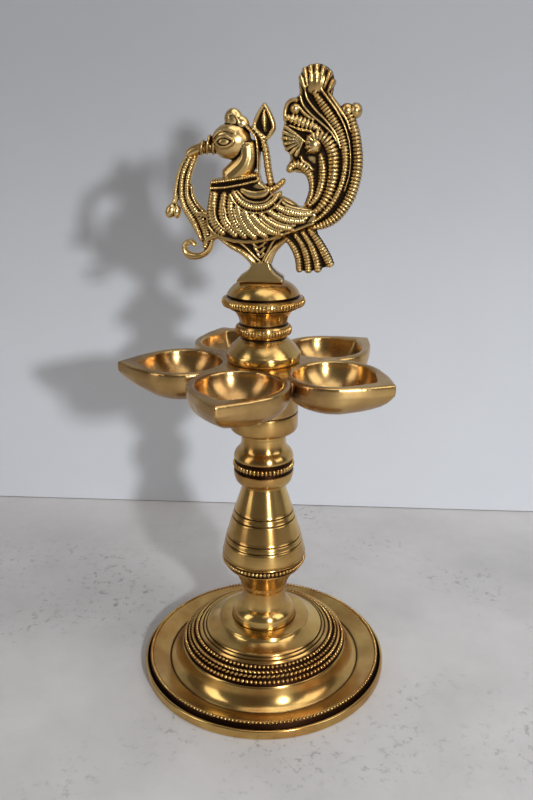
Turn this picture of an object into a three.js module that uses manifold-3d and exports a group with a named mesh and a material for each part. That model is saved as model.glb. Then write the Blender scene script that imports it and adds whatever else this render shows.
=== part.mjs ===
// A five-flame brass oil lamp: a dished base, a turned stem, a plate of five leaf-shaped
// cups, and a turned finial that carries a cast peacock. Millimetres, +Z up.
import * as THREE from "three";
import { mergeVertices } from "three/addons/utils/BufferGeometryUtils.js";
import Module from "manifold-3d";

const wasm = await Module();
wasm.setup();

// Driving dimensions

// Clearance between pieces that turn, slide or are cut round each other
const clearance = 0.3;

// Studs that screw the lamp together
const studRadius = 4;
const baseStudGrip = 11; // length in the stem
const topStudGrip = 12; // length in the stem and in the finial
const boreEndGap = 0.4; // free length past a stud's end

// Base: rim, dished flange, cove, ornamented dome, disc and seat
const baseRadius = 50;
const rimHeight = 3.7;
const rimLand = 0.9;
const rimWall = 3.6;
const grooveWidth = 1.1;
const grooveDepth = 1.7;
const beadRingSize = 1.3;
const flangeEdgeHeight = 5.4;
const dishRadius = 39.5;
const dishHeight = 2.9;
const coveRadius = 34.1;
const coveHeight = 10.5;
const discRadius = 23.8;
const discHeight = 17.2;
const stepRadius = 18.4;
const stepHeight = 0.5;
const seatHeight = 21;
const baseWall = 2.2;
const flangeWall = 1.6;
const bossRadius = 8.2;
const bossLength = 12;
const ridgeHeight = 0.55;

// Stem: foot, neck, pear, collar, upper neck and flange
const footRadius = 13;
const footBand = 1.6;
const shoulderHeight = 4.8;
const lowNeckRadius = 8.6;
const lowNeckHeight = 8.4;
const neckRingRadius = 9.5;
const neckRingHeight = 2.5;
const pearFootRadius = 10.2;
const pearUnderHeight = 9.2;
const beadRowRadius = 16.2;
const beadRowHeight = 2.6;
const pearRadius = 16.7;
const pearTopRadius = 8.1;
const pearHeight = 31.2;
const turningGroove = 0.4;
const collarRadius = 11.8;
const collarHeight = 14.2;
const collarBeadHeight = 3.4;
const highNeckRadius = 8.6;
const highNeckHeight = 8.8;
const flangeRadius = 13.2;
const flangeHeight = 7.2;

// Plate of cups
const hubRadius = 13.2;
const hubHeight = 20;
const cupCount = 5;
const cupReach = 54.6; // from the lamp's axis to a spout's tip
const cupCentre = 30.2; // from the lamp's axis to a bowl's middle
const cupRadius = 18;
const cupBand = 4.3; // height of the upright side below the rim
const cupDepth = 13.6; // rim to the lowest point outside
const cupWall = 3.2; // width of the rim's land
const cupFloor = 2; // thickness at the lowest point
const spoutNotch = 2.4; // how far the opening is drawn out towards the tip
const leafSwell = 0.5; // how far the leaf's sides bow out
const webRadius = 20.5;
const cupTurn = -9.5; // degrees from the front to the first cup, towards the right

// Finial: bell, small ring, flare, wide ring and dome
const bellRadius = 13.7;
const bellBand = 3.6;
const bellHeight = 9;
const bellTopRadius = 8.6;
const smallRingRadius = 10.4;
const smallRingHeight = 5.4;
const flareHeight = 6.2;
const flareRadius = 12.7;
const wideRingRadius = 15.3;
const wideRingHeight = 3.9;
const domeRadius = 13.2;
const domeHeight = 5.1;
const domeTopRadius = 8.2;

// Peacock: its plane is the plane of X and Z, and it looks towards -X
const birdHeight = 72.8; // foot to the top of the tail
const drawnHeight = 72.8; // the same height in the outlines below
const bodyThickness = 11;
const wingRise = 0.6; // how far the wing's strands stand out of the body
const strandThickness = 2.8;
const eyeRise = 0.2; // how far each eye stands out past the wings
const tailThickness = 4.4;
const featherRise = 0.9;
const garlandThickness = 5;
const tuftThickness = 5;
const braceThickness = 8;
const pinRadius = 2;
const pinLength = 11;

// Facets round a turned piece, and steps along each curve of its profile
const baseFacets = 36;
const stemFacets = 22;
const studFacets = 20;
const cupFacets = 24;
const pinFacets = 14;
const curveSteps = 3;

// Heights that follow from the sizes
const boreRadius = studRadius + clearance;
const stemFoot = seatHeight;
const shoulderTop = stemFoot + footBand + shoulderHeight;
const lowNeckTop = shoulderTop + lowNeckHeight;
const pearFoot = lowNeckTop + neckRingHeight;
const pearUnder = pearFoot + pearUnderHeight;
const pearWidest = pearUnder + beadRowHeight;
const pearTop = pearWidest + pearHeight;
const collarTop = pearTop + collarHeight;
const flangeUnder = collarTop + highNeckHeight;
const stemTop = flangeUnder + flangeHeight;
const hubTop = stemTop + hubHeight;
const bellTop = hubTop + bellHeight;
const smallRingTop = bellTop + smallRingHeight;
const flareTop = smallRingTop + flareHeight;
const wideRingTop = flareTop + wideRingHeight;
const finialTop = wideRingTop + domeHeight;

// Meshes and solids

function toSolid(geometry) {
  const bare = geometry.clone();
  bare.deleteAttribute("normal");
  bare.deleteAttribute("uv");
  const merged = mergeVertices(bare, 1e-4);
  return new wasm.Manifold(
    new wasm.Mesh({
      numProp: 3,
      vertProperties: new Float32Array(merged.attributes.position.array),
      triVerts: new Uint32Array(merged.index.array),
    }),
  );
}

function toGeometry(solid) {
  const mesh = solid.getMesh();
  const geometry = new THREE.BufferGeometry();
  geometry.setAttribute("position", new THREE.BufferAttribute(mesh.vertProperties, 3));
  geometry.setIndex(new THREE.BufferAttribute(mesh.triVerts, 1));
  geometry.computeVertexNormals();
  return geometry;
}

// A closed skin over a stack of rings with equal point counts, closed by a point at each end
function skin(rings, start, end) {
  const count = rings[0].length;
  const points = [start, ...rings.flat(), end];
  const faces = [];
  const at = (ring, i) => 1 + ring * count + (i % count);
  for (let i = 0; i < count; i++) {
    faces.push(0, at(0, i + 1), at(0, i));
    faces.push(points.length - 1, at(rings.length - 1, i), at(rings.length - 1, i + 1));
    for (let ring = 0; ring + 1 < rings.length; ring++) {
      faces.push(at(ring, i), at(ring, i + 1), at(ring + 1, i + 1));
      faces.push(at(ring, i), at(ring + 1, i + 1), at(ring + 1, i));
    }
  }
  const geometry = new THREE.BufferGeometry().setFromPoints(points);
  geometry.setIndex(faces);
  return geometry;
}

// A turned piece. The profile holds radius and height, and runs anticlockwise.
function turned(profile, facets = stemFacets) {
  const lathe = new THREE.LatheGeometry(profile.getPoints(curveSteps), facets);
  lathe.rotateX(Math.PI / 2);
  return lathe;
}

function cylinder(radius, low, high, facets = studFacets) {
  const rod = new THREE.Path();
  rod.moveTo(0, low);
  rod.lineTo(radius, low);
  rod.lineTo(radius, high);
  rod.lineTo(0, high);
  return turned(rod, facets);
}

// Adds a ridge to a profile, from where it stands to the given point. A fall makes a groove.
function ridgeTo(profile, radius, height, rise) {
  const from = profile.currentPoint.clone();
  const along = new THREE.Vector2(radius, height).sub(from);
  const out = new THREE.Vector2(along.y, -along.x).normalize().multiplyScalar(rise);
  profile.lineTo(from.x + along.x / 2 + out.x, from.y + along.y / 2 + out.y);
  profile.lineTo(radius, height);
}

// Base

function base() {
  const beadRing = baseRadius - rimLand - grooveWidth - beadRingSize;
  const profile = new THREE.Path();
  profile.moveTo(boreRadius, seatHeight);
  profile.lineTo(boreRadius, seatHeight - bossLength);
  profile.lineTo(bossRadius, seatHeight - bossLength);
  profile.lineTo(bossRadius, seatHeight - stepHeight - baseWall);
  profile.lineTo(stepRadius, seatHeight - stepHeight - baseWall);
  profile.quadraticCurveTo(
    (coveRadius + discRadius) / 2, discHeight - baseWall - 0.4,
    coveRadius - baseWall, coveHeight - baseWall / 2,
  );
  profile.quadraticCurveTo(
    coveRadius - baseWall / 2, dishHeight, dishRadius - 0.4, dishHeight - flangeWall,
  );
  profile.lineTo(baseRadius - rimWall - 0.6, flangeEdgeHeight - flangeWall - 0.4);
  profile.lineTo(baseRadius - rimWall, 0);
  // The rim's upright side, its narrow land and the groove inside it
  profile.lineTo(baseRadius, 0);
  profile.lineTo(baseRadius, rimHeight - 0.4);
  profile.lineTo(baseRadius - 0.3, rimHeight);
  profile.lineTo(baseRadius - rimLand, rimHeight);
  profile.lineTo(baseRadius - rimLand - grooveWidth / 2, rimHeight - grooveDepth);
  profile.lineTo(baseRadius - rimLand - grooveWidth, flangeEdgeHeight - beadRingSize / 2);
  ridgeTo(profile, beadRing, flangeEdgeHeight, beadRingSize / 2);
  // The flange falls inwards to the foot of the cove
  profile.lineTo(dishRadius, dishHeight);
  profile.quadraticCurveTo(coveRadius + 1.2, dishHeight + 1.4, coveRadius, coveHeight);
  // The dome's ornament: a row of beads, a rope of two strands, beads and two plain rings
  const dome = new THREE.QuadraticBezierCurve(
    new THREE.Vector2(coveRadius - 0.2, coveHeight + 0.1),
    new THREE.Vector2((coveRadius + discRadius) / 2 + 0.8, discHeight - 1.5),
    new THREE.Vector2(discRadius + 0.2, discHeight - 0.2),
  );
  for (const share of [0.2, 0.5, 0.68, 0.84, 1]) {
    const band = dome.getPoint(share);
    ridgeTo(profile, band.x, band.y, ridgeHeight);
  }
  profile.quadraticCurveTo(
    stepRadius + 2, discHeight + 1.2, stepRadius + 0.2, seatHeight - stepHeight - 0.4,
  );
  profile.lineTo(stepRadius, seatHeight - 0.2);
  profile.lineTo(stepRadius - 0.4, seatHeight);
  profile.lineTo(boreRadius, seatHeight);
  return turned(profile, baseFacets);
}

function baseStud() {
  return cylinder(studRadius, seatHeight - bossLength, seatHeight + baseStudGrip);
}

// Stem

function stem() {
  const profile = new THREE.Path();
  profile.moveTo(0, stemFoot + baseStudGrip + boreEndGap);
  profile.lineTo(boreRadius, stemFoot + baseStudGrip + boreEndGap);
  profile.lineTo(boreRadius, stemFoot);
  profile.lineTo(footRadius, stemFoot);
  profile.lineTo(footRadius, stemFoot + footBand);
  profile.quadraticCurveTo(
    footRadius - 0.2, shoulderTop - 1.4, lowNeckRadius + 1, shoulderTop,
  );
  profile.quadraticCurveTo(
    lowNeckRadius, shoulderTop + 2.6, lowNeckRadius, lowNeckTop - 0.4,
  );
  profile.lineTo(neckRingRadius - 0.2, lowNeckTop);
  profile.lineTo(neckRingRadius, pearFoot - 0.3);
  profile.lineTo(pearFootRadius, pearFoot);
  // The pear's underside, a row of beads and a plain ring at its widest
  profile.quadraticCurveTo(
    pearFootRadius + 1.4, pearFoot + 3.6, beadRowRadius - 1, pearUnder - 1.7,
  );
  profile.lineTo(beadRowRadius - 0.4, pearUnder - 1);
  ridgeTo(profile, beadRowRadius + 0.1, pearUnder + 1, ridgeHeight / 2);
  profile.lineTo(beadRowRadius - 0.1, pearUnder + 1.2);
  profile.lineTo(pearRadius - 0.1, pearUnder + 1.4);
  profile.lineTo(pearRadius, pearWidest);
  // The pear's long upper side, with two pairs of turned grooves
  const side = new THREE.CubicBezierCurve(
    new THREE.Vector2(pearRadius, pearWidest),
    new THREE.Vector2(pearRadius - 0.2, pearWidest + pearHeight * 0.18),
    new THREE.Vector2(pearTopRadius + 3.4, pearWidest + pearHeight * 0.66),
    new THREE.Vector2(pearTopRadius, pearTop),
  );
  const grooves = [0.29, 0.37, 0.6, 0.67];
  for (const share of [0.15, ...grooves, 0.84, 1]) {
    const point = side.getPoint(share);
    profile.lineTo(point.x, point.y);
    if (grooves.includes(share)) {
      const past = side.getPoint(share + 0.025);
      ridgeTo(profile, past.x, past.y, -turningGroove);
    }
  }
  // The collar, with a row of beads round it
  profile.lineTo(pearTopRadius, pearTop + 0.5);
  profile.lineTo(collarRadius - 2, pearTop + 0.8);
  profile.quadraticCurveTo(
    collarRadius - 0.4, pearTop + 1.6, collarRadius, pearTop + collarHeight * 0.35,
  );
  const beads = pearTop + collarHeight * 0.42;
  profile.lineTo(collarRadius - 0.6, beads - 0.3);
  ridgeTo(profile, collarRadius - 0.6, beads + collarBeadHeight, ridgeHeight + 0.3);
  profile.lineTo(collarRadius - 0.2, beads + collarBeadHeight + 0.3);
  profile.quadraticCurveTo(
    collarRadius - 0.3, collarTop - 1.2, highNeckRadius + 1, collarTop,
  );
  // The upper neck, with a small ring under the flange
  profile.quadraticCurveTo(
    highNeckRadius - 0.4, collarTop + 2.4, highNeckRadius, flangeUnder - 3,
  );
  profile.lineTo(highNeckRadius + 0.8, flangeUnder - 2.6);
  profile.lineTo(highNeckRadius + 0.9, flangeUnder - 1);
  profile.quadraticCurveTo(
    flangeRadius - 1.4, flangeUnder - 0.8, flangeRadius - 0.4, flangeUnder,
  );
  profile.lineTo(flangeRadius, flangeUnder + 1.6);
  profile.lineTo(flangeRadius, stemTop);
  profile.lineTo(boreRadius, stemTop);
  profile.lineTo(boreRadius, stemTop - topStudGrip - boreEndGap);
  profile.lineTo(0, stemTop - topStudGrip - boreEndGap);
  return turned(profile);
}

// Plate of cups: a hub with a thin web, and five cups round it

// An outline round a bowl's middle, drawn out to a spout on its +X side
function leaf(radius, tip, height, swell) {
  const tangent = tip > radius ? Math.acos(radius / tip) : 0;
  return Array.from({ length: cupFacets }, (_, i) => {
    const angle = (i / cupFacets) * 2 * Math.PI;
    const off = Math.min(angle, 2 * Math.PI - angle);
    const onSpout = off < tangent;
    const bow = onSpout ? swell * Math.sin((off / tangent) * Math.PI) : 0;
    const reach = (onSpout ? radius / Math.cos(tangent - off) : radius) + bow;
    return new THREE.Vector3(reach * Math.cos(angle), reach * Math.sin(angle), height);
  });
}

// The rings of a rounded hollow or underside, from its widest outline down
function bowlRings(radius, tip, top, depth, swell) {
  return [0, 0.26, 0.52, 0.78].map((share) => {
    const turn = (share * Math.PI) / 2;
    const spout = (tip - radius) * (1 - share) ** 1.4;
    const wide = radius * Math.cos(turn);
    return leaf(wide, wide + spout, top - depth * Math.sin(turn), swell * (1 - share));
  });
}

function cupOutside(extra = 0) {
  const tip = cupReach - cupCentre + extra;
  const radius = cupRadius + extra;
  const under = bowlRings(radius, tip, hubTop - cupBand, cupDepth - cupBand, leafSwell);
  const rim = leaf(radius, tip, hubTop, leafSwell);
  const lowest = new THREE.Vector3(0, 0, hubTop - cupDepth);
  return { rings: [...under.reverse(), rim], lowest };
}

// A cup's middle stands at the origin of its own turned group, cupCentre out along +X
function cupSolid() {
  const { rings, lowest } = cupOutside();
  const open = cupRadius - cupWall;
  const hollow = bowlRings(open, open + spoutNotch, hubTop, cupDepth - cupFloor, 0);
  const bottom = new THREE.Vector3(0, 0, hubTop - cupDepth + cupFloor);
  const cup = toSolid(skin([...rings, ...hollow], lowest, bottom)).translate([cupCentre, 0, 0]);
  // The sector between two neighbours, less half the clearance on each side
  const half = Math.PI / cupCount;
  const inset = clearance / 2 / Math.sin(half);
  const far = cupReach * 2;
  const sector = new THREE.Shape([
    new THREE.Vector2(inset, 0),
    new THREE.Vector2(inset + far * Math.cos(half), -far * Math.sin(half)),
    new THREE.Vector2(inset + far * Math.cos(half), far * Math.sin(half)),
  ]);
  const wedge = new THREE.ExtrudeGeometry(sector, { depth: hubTop * 2, bevelEnabled: false });
  const hub = toSolid(cylinder(hubRadius + clearance, 0, hubTop * 2, stemFacets));
  return cup.intersect(toSolid(wedge)).subtract(hub);
}

function hub() {
  const barrel = new THREE.Path();
  barrel.moveTo(boreRadius, stemTop);
  barrel.lineTo(hubRadius, stemTop);
  barrel.lineTo(hubRadius, hubTop);
  barrel.lineTo(boreRadius, hubTop);
  barrel.lineTo(boreRadius, stemTop);
  const ring = new THREE.Path();
  ring.moveTo(hubRadius - 1, hubTop - cupBand);
  ring.lineTo(webRadius, hubTop - cupBand);
  ring.lineTo(webRadius, hubTop);
  ring.lineTo(hubRadius - 1, hubTop);
  ring.lineTo(hubRadius - 1, hubTop - cupBand);
  let web = toSolid(turned(ring));
  const { rings, lowest } = cupOutside(clearance);
  const above = rings.at(-1).map((point) => point.clone().setZ(hubTop + 1));
  const cutter = skin([...rings, above], lowest, new THREE.Vector3(0, 0, hubTop + 1));
  for (const angle of cupAngles()) {
    web = web.subtract(toSolid(cutter).translate([cupCentre, 0, 0]).rotate([0, 0, angle]));
  }
  // The web's cut edge stops short of the barrel, which it joins
  return toSolid(turned(barrel)).add(web);
}

// Each cup's direction in degrees, measured from +X
function cupAngles() {
  return Array.from({ length: cupCount }, (_, i) => cupTurn - 90 + (i * 360) / cupCount);
}

function topStud() {
  return cylinder(studRadius, stemTop - topStudGrip, hubTop + topStudGrip);
}

// Finial

function finial() {
  const pinEnd = finialTop - pinLength / 2 - boreEndGap;
  const profile = new THREE.Path();
  profile.moveTo(0, hubTop + topStudGrip + boreEndGap);
  profile.lineTo(boreRadius, hubTop + topStudGrip + boreEndGap);
  profile.lineTo(boreRadius, hubTop);
  profile.lineTo(bellRadius - 0.6, hubTop);
  profile.quadraticCurveTo(bellRadius, hubTop + 0.6, bellRadius, hubTop + bellBand / 2);
  profile.lineTo(bellRadius - 0.2, hubTop + bellBand);
  profile.quadraticCurveTo(
    bellRadius - 1.6, hubTop + bellBand + 2.4, bellTopRadius, bellTop - 0.3,
  );
  profile.lineTo(bellTopRadius - 0.1, bellTop + 0.4);
  const ringMiddle = bellTop + smallRingHeight / 2;
  profile.lineTo(smallRingRadius - 1, bellTop + 0.7);
  profile.quadraticCurveTo(
    smallRingRadius + 0.5, ringMiddle, smallRingRadius - 1, smallRingTop - 0.8,
  );
  profile.lineTo(bellTopRadius, smallRingTop);
  profile.quadraticCurveTo(
    bellTopRadius + 0.6, flareTop - 2, flareRadius, flareTop - 0.3,
  );
  profile.lineTo(flareRadius - 0.4, flareTop);
  profile.lineTo(wideRingRadius - 1.2, flareTop + 0.5);
  const wideMiddle = flareTop + wideRingHeight / 2;
  profile.lineTo(wideRingRadius, wideMiddle - 0.3);
  profile.lineTo(wideRingRadius - 0.2, wideMiddle + 0.4);
  profile.lineTo(wideRingRadius - 1.8, wideRingTop - 0.3);
  profile.lineTo(domeRadius - 0.7, wideRingTop);
  profile.lineTo(domeRadius, wideRingTop + 0.4);
  profile.quadraticCurveTo(
    domeRadius - 1.6, finialTop - 1.2, domeTopRadius, finialTop,
  );
  profile.lineTo(pinRadius + clearance, finialTop);
  profile.lineTo(pinRadius + clearance, pinEnd);
  profile.lineTo(0, pinEnd);
  return turned(profile);
}

// Peacock. Its outlines are drawn from the middle of the finial's top, in the plane of X and
// Z, at the height drawnHeight, and the finished figure is brought to birdHeight.

// A rounded limb that follows a smooth spine. Each station gives the spine's place, half the
// width there and half the thickness. A blunt limb ends flat, and a pointed one in a tip.
function limb(stations, { blunt = false, pointed = false, steps = 3, sides = 8, square = 0.8 } = {}) {
  const spine = new THREE.CatmullRomCurve3(
    stations.map(([x, z]) => new THREE.Vector3(x, 0, z)),
  );
  const sizes = new THREE.CatmullRomCurve3(
    stations.map(([, , width, thickness]) => new THREE.Vector3(width, thickness, 0)),
  );
  const bend = (value) => Math.sign(value) * Math.abs(value) ** square;
  const ring = (at, size, along, scale) => {
    const across = new THREE.Vector3(along.z, 0, -along.x);
    return Array.from({ length: sides }, (_, i) => {
      const angle = ((i + 0.5) / sides) * 2 * Math.PI;
      const point = at.clone().addScaledVector(across, bend(Math.cos(angle)) * size.x * scale);
      point.y = bend(Math.sin(angle)) * size.y * scale;
      return point;
    });
  };
  const count = (stations.length - 1) * steps;
  const rings = Array.from({ length: count + 1 }, (_, i) => {
    const share = i / count;
    return ring(spine.getPoint(share), sizes.getPoint(share), spine.getTangent(share), 1);
  });
  const past = (share, reach) => {
    const outwards = (share ? 1 : -1) * reach * sizes.getPoint(share).x;
    return spine.getPoint(share).addScaledVector(spine.getTangent(share), outwards);
  };
  if (blunt) return skin(rings, past(0, 0), past(1, 0));
  if (pointed) return skin(rings, past(0, 1), past(1, 1));
  const cap = (share) => ring(past(share, 0.6), sizes.getPoint(share), spine.getTangent(share), 0.72);
  return skin([cap(0), ...rings, cap(1)], past(0, 0.9), past(1, 0.9));
}

// A flat piece with rounded edges, cut to an outline in X and Z
function slab(outline, thickness, edge, rounding = 1) {
  const geometry = new THREE.ExtrudeGeometry(outline, {
    depth: thickness - 2 * edge,
    bevelThickness: edge,
    bevelSize: edge,
    bevelOffset: -edge,
    bevelSegments: rounding,
    curveSegments: 2,
  });
  geometry.translate(0, 0, edge - thickness / 2);
  geometry.rotateX(Math.PI / 2);
  return geometry;
}

function ball(x, z, radius, thickness) {
  const sphere = new THREE.SphereGeometry(1, 8, 6);
  sphere.rotateX(Math.PI / 2);
  sphere.scale(radius, thickness, radius);
  sphere.translate(x, 0, z);
  return sphere;
}

// A smooth run of an outline through the given points
function through(outline, points) {
  outline.splineThru(points.map(([x, z]) => new THREE.Vector2(x, z)));
}

function birdBody() {
  const outline = new THREE.Shape();
  outline.moveTo(-17.4, 35.2);
  outline.lineTo(-18.8, 29);
  through(outline, [[-19.6, 24.5], [-20.6, 20.6], [-17.4, 16]]);
  through(outline, [[-10, 14.4], [3, 15.4], [19.2, 19.8]]);
  outline.lineTo(19.2, 24);
  through(outline, [[8.6, 28.9], [4.4, 31.6], [0.9, 35]]);
  outline.lineTo(-1.9, 38.6);
  return slab(outline, bodyThickness - 2 * wingRise, 3, 2);
}

// The same limb on both flanks, sunk so that its ridge reaches the given thickness
function onFlanks(stations, thickness) {
  const half = strandThickness / 2;
  const strand = stations.map(([x, z, width]) => [x, z, width, half]);
  return [-1, 1].map((flank) => {
    const side = limb(strand, { steps: 1, sides: 6, pointed: true });
    return side.translate(0, flank * (thickness / 2 - half), 0);
  });
}

// A wing of strands that sweep back to the tail's root, and a necklace above it
function birdWing() {
  const strands = [
    [[-16, 30.6, 1], [-17, 24.2, 1.3], [-13.8, 18.8, 0.8]],
    [[-13.4, 30.2, 1], [-13.4, 23.4, 1.3], [-9.5, 17.6, 0.8]],
    [[-10.9, 28.6, 1], [-10, 23, 1.3], [-5.8, 17.6, 0.8]],
    [[-8.3, 27, 0.9], [-4.6, 19.9, 1.3], [-1.5, 17.4, 0.8]],
    [[-5, 25.2, 0.9], [-0.3, 19.6, 1.3], [2.6, 18, 0.8]],
    [[-1.6, 24.6, 0.9], [4.1, 19.7, 1.3], [7.6, 19.1, 0.8]],
    [[1.6, 25.1, 0.9], [8, 20.9, 1.3], [11.8, 20.9, 0.8]],
    [[4.2, 26.7, 0.9], [11.5, 23, 1.3], [15.4, 23.1, 0.8]],
  ];
  const necklace = [[-11.2, 31.2, 1.2], [-6.8, 27.4, 1.3], [-0.9, 27, 1.3], [4.6, 30.8, 1.2]];
  return [...strands, necklace].flatMap((stations) => onFlanks(stations, bodyThickness));
}

// A band goes right round the foot of the neck
function birdCollar() {
  const half = bodyThickness / 2;
  const band = [[-18, 33, 1.6, half - 0.5], [-9, 35.2, 1.8, half + 0.2], [-1.2, 36.8, 1.6, half]];
  return limb(band, { steps: 1, sides: 6, pointed: true });
}

function birdTail() {
  const outline = new THREE.Shape();
  outline.moveTo(11.6, 20.6);
  outline.lineTo(19.3, 19.1);
  through(outline, [[27.2, 23], [32.4, 31.2], [34.1, 40.5], [32.4, 53]]);
  outline.absarc(30.4, 57.9, 3.2, -0.8, 2.6);
  outline.lineTo(25.1, 58);
  outline.lineTo(22.3, 61.8);
  through(outline, [[24.2, 67.3], [18, 73], [11.7, 68.8], [11, 62.1]]);
  through(outline, [[8.2, 61], [6.9, 57.4], [7, 54.2]]);
  through(outline, [[5.7, 50], [8, 43], [7.8, 38.6]]);
  outline.lineTo(9.2, 37.3);
  through(outline, [[13.6, 36], [15.9, 31.6], [12.9, 24.4]]);
  return slab(outline, tailThickness, 1.2);
}

// The feathers stand out of the tail on both sides, round to the touch
function birdFeathers() {
  const raised = tailThickness / 2 + featherRise;
  return [
    [[18, 21.2, 2, raised], [28.6, 28, 2.2, raised], [32, 40, 1.9, raised], [30.2, 57, 1.6, raised]],
    [[17, 23, 1.9, raised], [27.2, 32, 2, raised], [27.4, 47, 2.1, raised], [15.4, 65, 2, raised]],
    [[16, 25.2, 2, raised], [23.4, 34, 2.6, raised], [22.8, 43.6, 2.8, raised], [16.6, 45.8, 2.8, raised]],
    [[14.6, 24.6, 1.4, raised], [16.8, 34, 1.7, raised], [9.8, 38.6, 1.6, raised]],
    [[12.6, 64.6, 1, raised], [16.4, 57.6, 1.4, raised], [24, 49.4, 1, raised]],
    [[15.9, 27.6, 0.9, raised], [20.2, 35, 1.2, raised], [20.2, 42.6, 0.8, raised]],
  ].map((stations) => limb(stations, { steps: 2, sides: 6 }));
}

// Short ribs: the flutes of the hood, the fan below it and the arc between them
function birdFlutes() {
  const raised = tailThickness / 2 + featherRise;
  const low = raised - featherRise / 2;
  return [
    [[14.4, 66, 0.6, low], [13.6, 69.6, 1.1, low]],
    [[17.2, 67.8, 0.6, low], [17.6, 70.8, 1.3, low]],
    [[20, 66.6, 0.6, low], [22.3, 69, 1.2, low]],
    [[12.8, 48.4, 0.5, low], [8, 51.4, 1, low]],
    [[12.8, 47.2, 0.5, low], [7.8, 47.8, 1, low]],
    [[13.2, 46, 0.5, low], [9.2, 44.4, 1, low]],
    [[8.8, 57, 1.2, raised], [12.6, 54.2, 1.6, raised], [17.2, 51.8, 1.1, low]],
  ].map((stations) => limb(stations, { steps: 1, sides: 6, pointed: true }));
}

function birdTuft() {
  const outline = new THREE.Shape();
  outline.moveTo(10.5, 20);
  through(outline, [[12.8, 10], [12.2, 3.6]]);
  outline.lineTo(16, 3.4);
  outline.lineTo(25.6, 6.2);
  through(outline, [[21.2, 13.4], [18.6, 20]]);
  return slab(outline, tuftThickness, 1);
}

function birdStand() {
  const brace = new THREE.Shape();
  brace.moveTo(-15.4, 17);
  brace.lineTo(-13.9, 12.6);
  brace.quadraticCurveTo(-6, 9.6, -4.3, 5);
  brace.lineTo(2.9, 5);
  brace.quadraticCurveTo(3, 9.6, 8.4, 17.4);
  const foot = [[-0.9, 0, 8.3, 5.6], [-0.9, 2.1, 7.6, 5.2], [-0.9, 5.4, 4, 4.2], [-0.9, 8.6, 3.4, 3.6]];
  return [slab(brace, braceThickness, 1), limb(foot, { blunt: true, steps: 1, square: 0.5 })];
}

function birdHead() {
  const half = bodyThickness / 2;
  const neck = [[-6.4, 35, 6.6, half - 0.7], [-5, 41, 4.4, half - 1], [-6, 46.4, 4.4, half - 0.9]];
  const beak = [[-14, 46.4, 4.4, 4], [-19.2, 45.9, 3.9, 3.4], [-26, 43.7, 1.6, 2]];
  const horn = [[-8.8, 52.4, 4, 3], [-10.2, 57.6, 1.8, 2]];
  const plume = [[0.9, 48.4, 1, 2], [0.3, 53, 4.3, 2.6], [0.6, 60, 0.6, 1.2]];
  const headstall = [[-5, 53.8, 1.4, 2.8], [-0.6, 48, 1.6, 2.8], [-0.9, 38.4, 1.6, 3]];
  const strap = [[0.8, 49.4, 1.2, 2.2], [0.8, 42, 1.5, 2.4], [2.2, 33.6, 2.4, 2.8]];
  const scroll = [[1, 33.4, 2.4, 2.8], [7.4, 35.2, 1.6, 2.2]];
  const cheeks = ball(-10.2, 48.2, 7.4, half);
  const eye = [[-15, 48, 0.7], [-12.6, 48.2, 1.5], [-10.2, 48.2, 0.7]];
  const strands = [beak, horn, plume, headstall, strap, scroll];
  return [
    cheeks, limb(neck), ...onFlanks(eye, bodyThickness + 2 * eyeRise),
    ...strands.map((stations) => limb(stations, { steps: 1, sides: 6 })),
  ];
}

// A garland hangs from the beak to the chest and curls up below it, with a tassel in front
function birdGarland() {
  const half = garlandThickness / 2;
  const garland = [
    [-24, 44.6, 2, half], [-26.8, 38, 2.6, half], [-27.2, 29, 2.8, half],
    [-23.2, 20.6, 3.4, half], [-21, 14, 2.8, half], [-24.8, 9, 1.8, half], [-27.6, 12, 1.4, half],
  ];
  const link = [[-24, 22, 2, half], [-19, 25, 3, half]];
  const tassel = [[-26.2, 43.2, 1.1, half - 1], [-30.6, 33.6, 1.1, half - 1], [-32.4, 25.6, 1.2, half - 1]];
  return [
    limb(garland, { steps: 1, sides: 6 }),
    limb(link, { steps: 1, sides: 6 }),
    limb(tassel, { steps: 1, sides: 6 }),
    ball(-33.2, 24.1, 2.5, half),
  ];
}

function peacock() {
  const pieces = [
    birdBody(), ...birdWing(), birdCollar(), birdTail(), ...birdFeathers(), ...birdFlutes(),
    birdTuft(), ...birdStand(), ...birdHead(), ...birdGarland(),
  ];
  const figure = pieces.map(toSolid).reduce((whole, piece) => whole.add(piece));
  const size = birdHeight / drawnHeight;
  const hole = cylinder(pinRadius + clearance, -1, pinLength / 2 + boreEndGap, pinFacets);
  return figure.scale([size, 1, size]).subtract(toSolid(hole)).translate([0, 0, finialTop]);
}

function birdPin() {
  return cylinder(pinRadius, finialTop - pinLength / 2, finialTop + pinLength / 2, pinFacets);
}

// Materials
const polishedBrass = { color: 0xd1a354, metalness: 1, roughness: 0.25 };
const satinBrass = { color: 0xc98f5a, metalness: 1, roughness: 0.4 };
const oldBrass = { color: 0xa97d3c, metalness: 1, roughness: 0.45 };

function piece(name, shape, finish) {
  const geometry = shape.isBufferGeometry ? shape : toGeometry(shape);
  const mesh = new THREE.Mesh(geometry, new THREE.MeshStandardMaterial(finish));
  mesh.name = name;
  return mesh;
}

// Assembly. The origin is the middle of the space that the lamp takes up on the table,
// so the lamp's axis stands a little off it, because five spouts can't balance four sides.
function middleOffset(along) {
  const tips = cupAngles().map((angle) => cupReach * along(THREE.MathUtils.degToRad(angle)));
  const high = Math.max(baseRadius, ...tips);
  const low = Math.min(-baseRadius, ...tips);
  return Math.round(-5 * (high + low)) / 10;
}

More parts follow.
